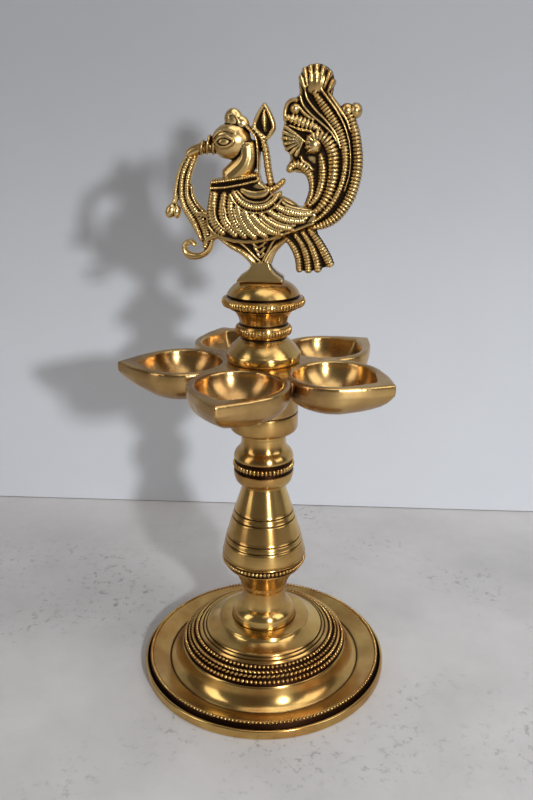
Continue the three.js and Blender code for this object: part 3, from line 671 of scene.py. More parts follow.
def smooth_line(stations, count):
    points = []
    for i in range(count + 1):
        place = i / count * (len(stations) - 1)
        k = min(int(place), len(stations) - 2)
        t = place - k
        four = [stations[min(max(k + j, 0), len(stations) - 1)] for j in (-1, 0, 1, 2)]
        points.append(Vector([0.5 * (2 * b + (c - a) * t + (2 * a - 5 * b + 4 * c - d) * t * t
                                     + (3 * b - a - 3 * c + d) * t ** 3)
                              for a, b, c, d in zip(*four)]))
    return points


def even_steps(stations, count):
    fine = smooth_line(stations, FINE_STEPS * (len(stations) - 1))
    reach = [0.0]
    for a, b in zip(fine, fine[1:]):
        reach.append(reach[-1] + math.hypot(b[0] - a[0], b[1] - a[1]))
    if count is None:
        thinnest = min(station[2] for station in stations)
        count = max(6, round(reach[-1] / min(LONGEST_STEP, STEP_TO_HALF * thinnest)))
    places = []
    for i in range(count):
        goal = reach[-1] * (i + 0.5) / count
        k = next(j for j in range(1, len(reach)) if reach[j] >= goal)
        share = (goal - reach[k - 1]) / (reach[k] - reach[k - 1])
        places.append((fine[k - 1].lerp(fine[k], share), fine[k] - fine[k - 1]))
    return places, reach[-1] / count


def new_lump(segments=12, rings=8):
    clear_selection()
    bpy.ops.mesh.primitive_uv_sphere_add(segments=segments, ring_count=rings, radius=MM)
    return bpy.context.object


def copy_lump(pattern, x, z, size, angle=0.0, y=0.0):
    copy = copy_of(pattern)
    place = Matrix.Translation(BIRD_FOOT + Vector((x, y, z)) * MM)
    copy.data.transform(place @ Matrix.Rotation(angle, 4, "Y") @ Matrix.Diagonal((*size, 1)))
    return copy


lump = new_lump()
ball = new_lump(32, 20)
print("lump and ball, faces", len(lump.data.polygons), len(ball.data.polygons))


def roll(line, depth, ribs=None, side=None, rise=None, core=0.86):
    """Lumps along a line: as many as make it smooth, or ribs of them round a smooth core."""
    places, pitch = even_steps(line, ribs)
    made = []
    for (x, z, half), step in places:
        length = pitch * RIB_LENGTH if ribs else max(pitch * LUMP_LENGTH, half * LUMP_TO_HALF)
        angle = -math.atan2(step[1], step[0])
        lift = 0 if side is None else side + (rise(x, z) if rise else 0)
        for y in ((0,) if side is None else (-lift, lift)):
            made.append(copy_lump(lump, x, z, (length, depth, half), angle, y))
    if ribs:
        made += roll([(x, z, half * core) for x, z, half in line], depth * core, None, side, rise)
    return made


def plate_of(name, outline, half, bevel, segments=3):
    clear_selection()
    bpy.ops.mesh.primitive_circle_add(vertices=len(outline), radius=MM, fill_type="NGON")
    piece = bpy.context.object
    piece.name = name
    for vertex, (x, z) in zip(piece.data.vertices, outline):
        vertex.co = BIRD_FOOT + Vector((x, -half, z)) * MM
    bpy.ops.object.mode_set(mode="EDIT")
    bpy.ops.mesh.extrude_region_move(TRANSFORM_OT_translate={"value": (0, 2 * half * MM, 0)})
    close_mesh()
    modify(piece, "BEVEL", width=bevel * MM, segments=segments, limit_method="ANGLE",
           angle_limit=SHARP)
    return piece


def outline_of(*runs):
    points = []
    for run in runs:
        smooth = smooth_line(run, 3 * (len(run) - 1)) if len(run) > 2 else run
        points += [tuple(point) for point in smooth]
    return points

# %% [markdown]
# The old wax lies in every hollow and is rubbed off every ridge. To paint it, each vertex is
# compared with a copy of the surface that was smoothed over and over: where the copy stands
# above the vertex, the vertex lies in a hollow. A few rounds find the narrow cuts between
# ribs, and many rounds find the broad sunk ground between feathers. Where the ground is a flat
# plate, all that lies no higher than the plate is black as well.

# %% Blacken the hollows
SPREAD = 0.6
NARROW_ROUNDS, NARROW_DEPTH = 6, 0.045
BROAD_ROUNDS, BROAD_DEPTH = 90, 0.26
CAST_VOXEL = 0.24


def hollows(piece, rounds):
    mesh = piece.data
    count = len(mesh.vertices)
    place = np.empty(count * 3)
    mesh.vertices.foreach_get("co", place)
    place = place.reshape(-1, 3)
    ends = np.empty(len(mesh.edges) * 2, dtype=np.int64)
    mesh.edges.foreach_get("vertices", ends)
    first, second = ends.reshape(-1, 2).T
    joined = np.bincount(ends, minlength=count)[:, None]
    soft = place.copy()
    for _ in range(rounds):
        total = np.stack([np.bincount(first, soft[second, k], count)
                          + np.bincount(second, soft[first, k], count) for k in range(3)], axis=1)
        soft = (1 - SPREAD) * soft + SPREAD * total / joined
    outwards = np.empty(count * 3)
    mesh.vertex_normals.foreach_get("vector", outwards)
    return ((soft - place) * outwards.reshape(-1, 3)).sum(axis=1) / MM


def blacken(piece, sunk):
    cuts = hollows(piece, NARROW_ROUNDS) / NARROW_DEPTH
    ground = hollows(piece, BROAD_ROUNDS) / BROAD_DEPTH
    away = np.array([abs(vertex.co.y - AXIS_Y) / MM for vertex in piece.data.vertices])
    plate_level = (away < sunk) * 1.0
    dark = np.clip(np.maximum.reduce([cuts, ground, plate_level]), 0, 1).astype(np.float32)
    layer = piece.data.attributes.new("patina", "FLOAT", "POINT")
    layer.data.foreach_set("value", dark)
    print(piece.name, "share in hollows", round(float(dark.mean()), 3))


def cast(name, parts, sunk=0.0):
    piece = melt(join(parts), CAST_VOXEL, 1)
    piece.name = name
    blacken(piece, sunk)
    wear(piece, antique)
    return piece

# %% [markdown]
# The tail is one solid plate with the feathers lying on it. They rise from the root, sweep up
# and inwards, and end in balls, scrolls, a small fan and the round hood at the top. Each feather
# is one roll, drawn along its middle, and the plate is the sunk dark ground between them.

# %% Tail
OUTER_FEATHER = (
    (17.5, 19.5, 1.1), (20.6, 20.2, 1.7), (24.4, 22.2, 2), (27.6, 25.6, 2.1), (30.1, 30.0, 2.1),
    (31.6, 35.2, 2.1), (32.3, 40.8, 2), (31.9, 46.3, 1.9), (30.9, 51.4, 1.8), (29.5, 55.2, 1.7),
    (28.3, 57.5, 1.4))
LONG_FEATHER = (
    (17.8, 21.5, 0.9), (20.6, 23.6, 1.2), (23.6, 27.1, 1.5), (25.9, 31.1, 1.4), (27.5, 35.5, 1.4),
    (28.2, 40.4, 1.5), (27.9, 45.0, 1.7), (26.8, 49.2, 1.9), (24.7, 53.3, 2), (22.0, 57.2, 2),
    (19.2, 60.9, 1.7), (17.0, 63.7, 1.1))
SCROLL_FEATHER = (
    (17.1, 23.9, 1.1), (19.8, 26.2, 1.7), (22.2, 29.6, 2), (23.6, 33.6, 2.2), (24.3, 38.1, 2.3),
    (24.2, 42.4, 2.4), (23.4, 45.9, 2.5), (21.5, 48.8, 2.5), (18.8, 50.0, 2.4), (16.4, 49.1, 2.2),
    (15.7, 46.9, 2.1), (16.7, 44.8, 1.9))
INNER_FEATHER = (
    (16.1, 26.7, 0.79), (18.2, 28.9, 1.4), (19.7, 31.9, 1.7), (20.5, 35.3, 1.8), (20.6, 38.7, 1.8),
    (20.2, 41.7, 1.6), (19.7, 44.0, 1.1))
SMALL_FEATHER = (
    (15.4, 27.3, 0.68), (16.7, 30.0, 0.9), (17.1, 32.7, 1.1), (16.8, 35.4, 1.4), (16.0, 37.7, 1.7),
    (14.4, 39.7, 1.9), (12.3, 40.7, 1.8), (10.2, 40.3, 1.6), (9.1, 38.8, 1.4))
UPPER_ARC = ((7.9, 55.9, 1.2), (9.9, 55.3, 1.9), (12.1, 54.6, 2.3), (14.5, 53.8, 2.3),
             (17.0, 53.0, 1.9), (19.6, 51.8, 1.0))
UNDER_ARC = ((9.0, 53.2, 0.4), (11.6, 52.2, 0.6), (14.3, 51.6, 0.7), (16.6, 51.2, 0.6))
OVER_ARC = ((12.0, 59.6, 0.5), (13.2, 57.8, 0.8), (15.0, 56.2, 0.8), (17.2, 54.9, 0.5))
UNDER_FAN = ((13.0, 43.2, 0.6), (13.8, 41.6, 0.9), (15.6, 40.4, 0.9), (17.3, 38.8, 0.5))
ARC_CURL = ((7.6, 54.9, 0.8), (7.6, 57.4, 0.9), (8.3, 59.8, 0.9), (9.8, 61.0, 0.9), (11.7, 61.1, 0.8))
FOLDS = (
    ((12.5, 62.7, 0.7), (13.4, 59.9, 0.6), (15.4, 57.4, 0.6), (18.3, 55.0, 0.6), (21.2, 52.7, 0.6),
     (23.6, 50.3, 0.5), (25.6, 47.2, 0.4)),
    ((14.2, 64.3, 0.5), (14.8, 61.8, 0.6), (16.3, 59.6, 0.6), (18.4, 57.3, 0.6), (21.0, 54.9, 0.6),
     (23.4, 52.1, 0.6), (25.2, 49.3, 0.5), (26.3, 45.9, 0.4)),
    ((14.3, 64.9, 0.5), (15.9, 66.6, 0.7), (18.1, 66.0, 0.7), (20.0, 63.8, 0.7), (22.2, 61.0, 0.7),
     (24.6, 57.9, 0.6), (26.7, 54.6, 0.5), (28.4, 50.8, 0.5), (29.5, 46.3, 0.4), (29.9, 41.4, 0.4),
     (29.5, 36.5, 0.4), (28.1, 31.8, 0.4)),
    ((22.1, 63.0, 0.6), (24.2, 60.2, 0.8), (26.1, 57.7, 0.9), (28.1, 54.9, 0.6), (29.3, 51.7, 0.4)))
FAN_ROOT = (13.9, 48.5)
FAN_TIPS = ((7.4, 52.8), (6.9, 51.0), (6.7, 49.1), (7.1, 47.2), (7.9, 45.4), (9.4, 44.0),
            (11.2, 43.3))
HOOD = (((14.3, 64.3), (12.6, 68.6)), ((14.9, 65.5), (13.9, 71.0)), ((16.3, 66.3), (15.8, 71.8)),
        ((17.8, 66.4), (18.0, 72.1)), ((19.2, 66.0), (20.2, 71.5)), ((20.6, 64.9), (22.4, 69.9)),
        ((21.6, 63.5), (23.5, 67.3)))

tail_parts = [plate_of("tail_plate", outline_of(
    [(13.6, 21.0), (17.5, 19.4)],
    [(17.5, 19.4), (21.7, 19.9), (25.8, 22.6), (29.1, 27.3), (31.2, 32.2), (32.2, 38.2), (32.4, 45.3),
     (31.2, 52.3), (29.6, 57.4)],
    [(27.4, 59.4), (25.4, 58.4)],
    [(23.1, 61.8), (23.6, 66.1), (22.2, 70.6), (17.8, 72.2), (13.7, 71.0), (12.1, 67.4),
     (12.4, 62.7)],
    [(9.8, 61.3), (8.2, 59.4), (7.6, 55.2), (7.0, 52.6), (6.8, 48.8), (8.0, 45.4), (9.4, 43.2),
     (8.8, 38.9)],
    [(11.3, 37.9), (14.6, 37.0), (15.9, 32.1), (13.8, 26.0)]), 1.1, 0.5)]
tail_parts += roll(OUTER_FEATHER, 2.9, 38)
tail_parts += roll(LONG_FEATHER, 2.8, 46)
tail_parts += roll(SCROLL_FEATHER, 3.2, 30)
tail_parts.append(copy_lump(ball, 17.3, 46.9, (3.0, 3.2, 3.2)))
tail_parts += roll(INNER_FEATHER, 2.7, 18)
tail_parts += roll(SMALL_FEATHER, 2.7, 18)
tail_parts += roll(UPPER_ARC, 2.7, 9)
tail_parts += roll(ARC_CURL, 2.4)
for line in (UNDER_ARC, OVER_ARC, UNDER_FAN):
    tail_parts += roll(line, 2.5)
for fold in FOLDS:
    tail_parts += roll(fold, 2.6)
for x, z in FAN_TIPS:
    halfway = ((x + FAN_ROOT[0]) / 2, (z + FAN_ROOT[1]) / 2)
    tail_parts += roll(((*FAN_ROOT, 0.5), (*halfway, 0.95), (x, z, 1.05)), 2.5)
tail_parts.append(copy_lump(ball, 17.9, 67.2, (5.8, 2.85, 5.2)))
for (x0, z0), (x1, z1) in HOOD:
    swelling = ((x0 + 2 * x1) / 3, (z0 + 2 * z1) / 3)
    tail_parts += roll(((x0, z0, 0.5), (*swelling, 1.15), (x1, z1, 0.95)), 3.0)
for x, z, size, angle in ((31.1, 57.8, (2.2, 2.8, 2.5), 0), (28.2, 57.8, (2.4, 2.4, 2.4), -0.5),
                          (10.9, 58.4, (2.1, 2.8, 2.1), 0), (9.3, 38.9, (1.4, 2.5, 1.3), 0)):
    tail_parts.append(copy_lump(ball, x, z, size, angle))
bird_tail = cast("peacock_tail", tail_parts, 0.95)

# %% [markdown]
# The body is a full form with a wing on each side: ribbed strands that sweep back to the tail,
# with a thin smooth line beside each. Over them lie a necklace and a collar. The body swells
# in the middle, so a short helper says how far out a strand has to lie at each place.

# %% Body
WING = (
    ((-16.8, 31.2, 1.4), (-17.5, 25.9, 1.5), (-17.3, 22.5, 1.5), (-15.8, 19.3, 1.4),
     (-13.5, 17.3, 1.0)),
    ((-13.2, 30.8, 1.1), (-13.9, 25.3, 1.2), (-13.4, 21.8, 1.2), (-11.6, 18.9, 1.2),
     (-9.2, 16.6, 1.0)),
    ((-10.8, 30.4, 1.0), (-11.0, 25.0, 1.2), (-10.0, 21.5, 1.2), (-8.3, 18.6, 1.2),
     (-5.9, 16.2, 1.0)),
    ((-8.7, 26.9, 1.0), (-8.1, 23.8, 1.2), (-6.6, 20.7, 1.2), (-4.8, 18.1, 1.2), (-2.3, 16.0, 1.0)),
    ((-6.2, 25.2, 0.9), (-5.0, 22.6, 1.2), (-3.2, 20.1, 1.2), (-1.1, 18.0, 1.2), (1.6, 16.5, 1.0)),
    ((-3.5, 24.0, 0.9), (-1.7, 21.8, 1.2), (0.5, 19.8, 1.2), (3.0, 18.3, 1.2), (6.2, 17.6, 1.0)),
    ((-0.5, 24.2, 0.9), (1.6, 22.2, 1.1), (4.1, 20.7, 1.2), (7.1, 19.7, 1.2), (10.5, 19.4, 0.9)),
    ((2.3, 25.3, 0.9), (4.8, 23.6, 1.1), (7.7, 22.4, 1.1), (11.1, 21.8, 1.1), (14.7, 22.0, 0.9)),
    ((4.8, 27.1, 0.9), (7.2, 25.7, 1.1), (10.4, 24.7, 1.1), (13.9, 24.2, 1.1), (17.1, 24.4, 0.8)))
NECKLACE = ((-10.0, 31.6, 1.0), (-7.9, 28.8, 1.2), (-5.1, 27.0, 1.3), (-1.9, 26.4, 1.3),
            (1.2, 26.9, 1.3), (3.8, 28.6, 1.2), (5.6, 30.8, 1.0))
NECKLACE_RIM = ((-11.2, 30.8, 0.4), (-8.8, 27.2, 0.4), (-5.6, 25.1, 0.4), (-1.9, 24.5, 0.4),
                (1.7, 25.1, 0.4), (4.9, 26.9, 0.4), (6.9, 29.1, 0.4))
INNER_RIM = ((-8.6, 32.0, 0.4), (-6.4, 29.6, 0.4), (-4.1, 28.4, 0.4), (-1.2, 28.1, 0.4),
             (1.6, 28.9, 0.4), (3.6, 30.8, 0.4))
CRESCENT = ((-7.0, 32.2, 0.8), (-4.5, 30.9, 1.3), (-1.9, 30.5, 1.4), (0.7, 31.0, 1.3),
            (2.3, 32.3, 0.8))
COLLAR = ((-17.8, 34.6, 1.2), (-12.5, 35.2, 1.2), (-7.2, 36.0, 1.2), (-1.6, 37.1, 1.2))
BAND = ((-18.0, 32.7, 1.0), (-13.2, 32.9, 1.0), (-7.5, 33.9, 1.0), (-1.4, 35.3, 1.0))
BELLY = ((-19.3, 20.0, 0.5), (-17.1, 17.4, 0.6), (-13.5, 15.6, 0.7), (-8.5, 14.6, 0.7),
         (-2.7, 14.6, 0.7), (2.7, 15.6, 0.7), (7.6, 17.4, 0.7), (12.6, 19.2, 0.6),
         (17.8, 21.3, 0.6))
WING_OUT = 3.7
STRAND_WIDER = 1.2
VEIN_RIGHT, VEIN_UP, VEIN_HALF = 1.0, 0.9, 0.42
CHEST = (-3, 23.5)
CHEST_REACH = (21, 9.5)
CHEST_RISE = 0.7


def fullness(x, z):
    off_x, off_z = (x - CHEST[0]) / CHEST_REACH[0], (z - CHEST[1]) / CHEST_REACH[1]
    return CHEST_RISE * max(0.0, 1 - off_x ** 2 - off_z ** 2)


body_parts = [plate_of("body_plate", outline_of(
    [(-18.2, 35.0), (-18.2, 32.6)],
    [(-18.2, 32.6), (-18.8, 29.3), (-19.5, 25.2), (-19.8, 21.7), (-18.9, 19.0), (-16.2, 16.6)],
    [(-16.2, 16.6), (-11.3, 14.7), (-4.9, 14.3), (1.6, 14.9), (7.3, 16.9), (12.9, 19.1),
     (18.0, 21.0)],
    [(18.8, 23.8), (17.0, 25.9)],
    [(17.0, 25.9), (12.8, 26.4), (9.3, 27.3), (6.2, 29.3), (3.3, 31.3), (-0.5, 34.4)],
    [(-1.4, 37.4), (-13.2, 35.4)]), 4.1, 2.2, 4),
    copy_lump(ball, *CHEST, (17, 4.5, 8))]
for strand in WING:
    wider = [(x, z, half * STRAND_WIDER) for x, z, half in strand]
    body_parts += roll(wider, 1.4, 15, WING_OUT, fullness, 0.8)
    vein = [(x + VEIN_RIGHT, z + VEIN_UP, VEIN_HALF) for x, z, _ in strand[1:]]
    body_parts += roll(vein, 1.25, None, WING_OUT, fullness)
body_parts += roll(NECKLACE, 1.3, 22, 4.3, None, 0.75)
body_parts += roll(NECKLACE_RIM, 1.0, None, 4.5)
body_parts += roll(INNER_RIM, 1.0, None, 4.5)
body_parts += roll(CRESCENT, 1.1, None, 4.3)
body_parts += roll(BELLY, 1.2, None, 3.3)
body_parts += roll(COLLAR, 5.6, 20, core=0.93)
body_parts += roll(BAND, 5.3)
bird_body = cast("peacock_body", body_parts)

# %% [markdown]
# Below the body are the tuft of four ribbed strands, the two arms of the brace with a pendant
# between them, and the foot: blocks one above another that narrow upwards like a roof.

# %% Tuft, brace and foot
TUFT = (
    ((7.3, 16.4, 1.1), (9.6, 14.1, 1.3), (11.5, 11.4, 1.5), (12.7, 8.0, 1.5), (13.0, 4.0, 1.3)),
    ((11.1, 17.4, 1.1), (13.4, 14.1, 1.3), (15.1, 10.7, 1.6), (16.0, 7.0, 1.6), (16.2, 3.8, 1.5)),
    ((13.7, 18.3, 1.1), (16.2, 14.6, 1.3), (18.0, 11.1, 1.6), (19.2, 7.4, 1.6), (19.6, 4.1, 1.5)),
    ((16.0, 19.2, 1.1), (18.8, 15.5, 1.5), (21.0, 12.0, 1.7), (22.8, 8.7, 1.8), (24.0, 6.1, 1.7)))
BRACE = (
    ((-15.3, 15.4, 0.9), (-11.7, 12.9, 1.3), (-7.6, 10.8, 1.5), (-4.5, 8.4, 1.7), (-2.7, 6.1, 1.7)),
    ((8.7, 15.8, 0.9), (5.5, 13.2, 1.3), (3.2, 10.7, 1.5), (1.8, 8.0, 1.7), (0.9, 5.8, 1.7)))
PENDANT = (
    ((-8.6, 14.3, 0.5), (-5.6, 11.9, 0.5), (-2.9, 9.1, 0.5), (-0.6, 7.0, 0.5)),
    ((3.7, 14.5, 0.5), (2.3, 11.9, 0.5), (1.0, 9.2, 0.5), (-0.2, 7.0, 0.5)),
    ((-3.9, 14.1, 0.5), (-1.6, 12.4, 0.6), (0.9, 14.2, 0.5)),
    ((-3.1, 12.2, 0.5), (-1.1, 10.6, 0.6), (0.7, 12.2, 0.5)),
    ((-2.0, 10.2, 0.4), (-0.7, 9.0, 0.5), (0.4, 10.3, 0.4)))

stand_parts = [
    plate_of("tuft_plate", outline_of(
        [(8.0, 17.6), (13.0, 10), (12.2, 4.4)],
        [(16.4, 3.8), (24.2, 6.2)], [(24.2, 6.2), (20.8, 13.0), (18.4, 20.2)]), 1.2, 0.5, 2),
    plate_of("brace_plate", outline_of(
        [(-15.4, 15.4), (-9.6, 11.4), (-4.6, 8.0), (-3.2, 5)],
        [(1.6, 5), (2.8, 9.6), (8.8, 16.2)], [(2.0, 17.6), (-9.0, 17.6)]), 1.6, 0.5, 2)]
for strand in TUFT:
    stand_parts += roll(strand, 2.6, 15)
for arm in BRACE:
    stand_parts += roll(arm, 3.3)
for line in PENDANT:
    stand_parts += roll(line, 0.9, None, 1.9)
FOOT_X = -0.9
FOOT_LEVELS = ((0.2, 8.3, 4.9), (1.3, 8.0, 4.8), (3.0, 5.6, 4.2), (4.8, 3.9, 3.7), (7.0, 3.0, 3.3))
for (low, wide, thick), (high, wide_above, thick_above) in zip(FOOT_LEVELS, FOOT_LEVELS[1:]):
    clear_selection()
    bpy.ops.mesh.primitive_cube_add(size=2)
    block = bpy.context.object
    for vertex in block.data.vertices:
        above = vertex.co.z > 0
        across = vertex.co.x * (wide_above if above else wide)
        out = vertex.co.y * (thick_above if above else thick)
        vertex.co = BIRD_FOOT + Vector((FOOT_X + across, out, high if above else low)) * MM
    stand_parts.append(block)
bird_stand = cast("peacock_stand", stand_parts, 1.3)

# %% [markdown]
# The head is a smooth ball with almond eyes, on a neck that widens into the collar. Behind the
# neck a ribbed strap holds a plume shaped like a spearhead. The lines of an eye are rows of small
# lumps, and how far out each one lies is worked out from the ball's own curve.

# %% Head
NECK = ((-11.6, 35.6, 4.2), (-9.0, 37.6, 4.4), (-6.4, 40.4, 4.1), (-5.3, 43.5, 3.8),
        (-5.8, 46.6, 4.0))
HORN_CURL = ((-7.9, 53.8, 0.5), (-8.8, 55.8, 0.5), (-10.3, 57.0, 0.5), (-11.7, 56.2, 0.5),
             (-11.4, 54.8, 0.5))
MANE = ((-5.6, 52.8, 0.6), (-3.7, 51.2, 0.6), (-2.2, 48.9, 0.6), (-1.6, 45.6, 0.6), (-1.5, 41.9, 0.6),
        (-1.7, 37.6, 0.6))
STRAP = ((-3.7, 52.5, 1.0), (-1.7, 50.8, 1.2), (-0.2, 48.6, 1.3), (0.7, 45.7, 1.4), (1.3, 42.4, 1.4),
         (1.7, 39.1, 1.4), (2.3, 36.1, 1.4), (2.8, 33.7, 1.3))
BACK_SCROLL = ((0.2, 33.4, 1.0), (2.1, 32.3, 1.3), (4.2, 32.6, 1.3), (5.9, 33.9, 1.2),
               (7.2, 35.2, 1.1))
EYE_OUT = 4.75
EYE_LINE = (0.5, 0.55, 0.4)
EYE = (((-16.2, 47.8), (-14.5, 49.2), (-12.0, 49.6), (-9.3, 48.2)),
       ((-16.2, 47.8), (-14.4, 46.3), (-11.7, 46.3), (-9.3, 48.2)),
       ((-16.9, 49.3), (-14.8, 51.1), (-12.0, 51.7), (-9.2, 50.8)))
HEAD = (-11.0, 48.0)
HEAD_SIZE = (7.0, 5.1, 6.1)

head_parts = [copy_lump(ball, *HEAD, HEAD_SIZE, -0.08)]
head_parts += roll(NECK, 4.2)
head_parts += roll(MANE, 4.0)
head_parts.append(copy_lump(ball, -10.2, 55.2, (3.2, 2.6, 3.6)))
head_parts.append(copy_lump(ball, -7.5, 53.8, (2.9, 2.5, 2.6), 0.5))
head_parts += roll(HORN_CURL, 2.8)
for x, z, tall in ((-16.9, 46.3, 3.1), (-18.9, 46.9, 3.5), (-21.1, 45.9, 2.8)):
    head_parts.append(copy_lump(ball, x, z, (0.85, 3.3, tall), 0.15))
head_parts += roll(((-16, 46.6, 2.3), (-21.2, 45.7, 2.0), (-24.2, 44.7, 2.0), (-26.2, 43.5, 1.5)),
                   2.5)
for line in EYE:
    places, _ = even_steps([(x, z, 0.4) for x, z in line], 20)
    for (x, z, _), step in places:
        off_x, off_z = (x - HEAD[0]) / HEAD_SIZE[0], (z - HEAD[1]) / HEAD_SIZE[2]
        out = HEAD_SIZE[1] * math.sqrt(max(0.0, 1 - off_x ** 2 - off_z ** 2))
        for side in (-out, out):
            angle = -math.atan2(step[1], step[0])
            head_parts.append(copy_lump(lump, x, z, EYE_LINE, angle, side))
for side in (-EYE_OUT, EYE_OUT):
    head_parts.append(copy_lump(ball, -12.8, 47.9, (1.9, 0.6, 1.0), 0, side))
head_parts.append(plate_of("plume_plate", [
    (0.5, 60.1), (2.4, 57.2), (4.3, 52.8), (3.2, 50.5), (1.2, 48.5), (-1.2, 50.2), (-3.4, 52.6),
    (-2.0, 56.4)], 1.3, 0.5, 2))
head_parts += roll(((0.5, 59.8, 0.7), (2.2, 56.8, 0.9), (3.6, 52.9, 0.9), (2.8, 50.8, 0.9),
                    (1.2, 49.2, 0.8), (-1.0, 50.6, 0.9), (-2.8, 52.8, 0.9), (-1.6, 56.4, 0.9),
                    (0.5, 59.8, 0.7)), 2.2)
head_parts += roll(((0.5, 58.0, 0.4), (0.5, 55.0, 1.3), (0.8, 51.6, 0.5)), 2.7)
head_parts += roll(STRAP, 2.6, 15)
head_parts += roll(BACK_SCROLL, 2.5, 7)
bird_head = cast("peacock_head", head_parts)

# %% [markdown]
# A garland of two ribbed strands hangs from the beak to the chest and ends in a curl. In front
# of it hangs a beaded string with a tassel. Thin smooth lines beside the strands and two short
# arms to the body keep it all one piece of metal.

# %% Garland and string
GARLAND = (
    ((-25.2, 43.0, 0.85), (-27.2, 39.4, 1.1), (-28.4, 36.1, 1.1), (-28.9, 32.7, 1.1),
     (-28.9, 29.2, 1.2), (-28.1, 26.1, 1.3), (-26.5, 23.2, 1.5), (-24.8, 20.3, 1.5),
     (-23.3, 17.1, 1.2), (-22.2, 14.3, 0.85)),
    ((-23.6, 43.0, 1.1), (-25.3, 39.1, 1.1), (-26.4, 35.7, 1.2), (-26.9, 32.3, 1.2),
     (-26.8, 29.3, 1.3), (-25.7, 26.7, 1.6), (-23.9, 24.1, 1.8), (-21.7, 21.0, 2),
     (-20.5, 17.5, 1.8), (-20.3, 14.3, 1.6), (-21.2, 11.8, 1.1)))
GARLAND_EDGE = (
    (-25.2, 33.0, 0.54), (-25.0, 30.0, 0.54), (-23.7, 27.2, 0.68), (-21.5, 24.6, 0.68),
    (-19.4, 21.4, 0.68), (-18.5, 17.6, 0.81), (-18.5, 14.0, 0.94), (-19.9, 10.7, 1.1),
    (-23.1, 8.7, 1.2), (-26.6, 8.7, 1.4), (-28.5, 10.4, 1.2), (-28.2, 12.8, 1.1),
    (-26.1, 13.8, 0.94), (-24.6, 12.5, 0.94))
STRING = ((-26.6, 43.0, 0.6), (-28.5, 39.9, 0.8), (-29.9, 36.7, 0.8), (-30.7, 33.3, 0.8),
          (-31.3, 29.9, 0.8), (-32.1, 27.1, 0.8))

garland_parts = roll(GARLAND[0], 2.1, 34) + roll(GARLAND[1], 2.1, 38)
garland_parts += roll([(x + 0.7, z, 0.5) for x, z, _ in GARLAND[0]], 1.4)
garland_parts += roll(GARLAND_EDGE, 2.0)
garland_parts += roll(STRING, 1.5, 26)
garland_parts += roll([(x + 0.9, z, 0.5) for x, z, _ in STRING], 1.1)
garland_parts.append(copy_lump(ball, -33.2, 24.4, (1.9, 2.2, 2.7), 0.4))
garland_parts.append(copy_lump(ball, -31.0, 24.2, (1.5, 2.0, 2.5)))
garland_parts += roll(((-23.6, 23.6, 1.2), (-21.0, 23.4, 1.3), (-18.6, 22.6, 1.6)), 2.4)
garland_parts += roll(((-20.4, 14.6, 1.2), (-17.6, 15.8, 1.4), (-15.0, 16.4, 1.4)), 2.4)
garland = cast("peacock_garland", garland_parts)
bpy.data.objects.remove(lump)
bpy.data.objects.remove(ball)

# %% [markdown]
# The frame's own parts that stay in view get the same metal. Every new piece is hung on the
# body of the lamp that it moves with, and the frame's parts that the new pieces take the place of are
# hidden.

# %% Dress the frame
for node, finish in (("base_stud", stud_brass), ("top_stud", stud_brass), ("bird_pin", antique)):
    wear(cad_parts[node], finish)

for piece, body in (
    (base, "base"), (rim_beads, "base"), (outer_beads, "base"), (rope_low, "base"),
    (rope_high, "base"), (inner_beads, "base"), (stem, "stem"), (pear_beads, "stem"),
    (collar_beads, "stem"), (finial, "crown"), (small_milling, "crown"), (wide_milling, "crown"),
):
    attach(piece, body)
    print(piece.name, "moves with", body)
for piece in (bird_body, bird_tail, bird_stand, bird_head, garland):
    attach(piece, "crown")
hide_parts("bird")
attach(plate, "lamp_plate")
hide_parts("lamp_hub", "cup_1", "cup_2", "cup_3", "cup_4", "cup_5")
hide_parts("base")
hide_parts("stem")
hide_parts("finial")

# %% [markdown]
# The stage is a pale floor and a pale wall not far behind the lamp, as in a tabletop photograph.
# The floor is an old painted board: faint clouds, and a few dark specks where the paint is worn.
# The wall is plain, and painted shade darkens its colour upwards, where less light reaches it.
# From behind it can be looked through, so that the lamp can be seen from every side.

# %% Stage
STAGE_SIZE = 3
WALL_BEHIND = 0.142
WALL_TURN = math.radians(-3.9)
WALL_GAP = 0.0005
FLOOR_PAINT = (0.60, 0.585, 0.58)
WALL_PAINT = (0.65, 0.67, 0.71)
# FAR_SHADE is the colour of the painted shade high on the wall.
FAR_SHADE = (0.05, 0.045, 0.045)
PAINTED_SHADE_TOP = 0.3
CLOUD_SCALE, CLOUD_EDGES = 9.0, (0.3, 0.7)
CHIP_SCALE, CHIP_EDGES = 240.0, (0.55, 0.62)
PATCH_SCALE, PATCH_EDGES = 11.0, (0.5, 0.64)
CHIP_DARKNESS = 0.45
CAMERA_TURN = math.radians(7.0)
behind = Vector((-math.sin(CAMERA_TURN), math.cos(CAMERA_TURN), 0))
aside = Vector((math.cos(CAMERA_TURN), math.sin(CAMERA_TURN), 0))
middle = Vector((AXIS_X, AXIS_Y, 0))


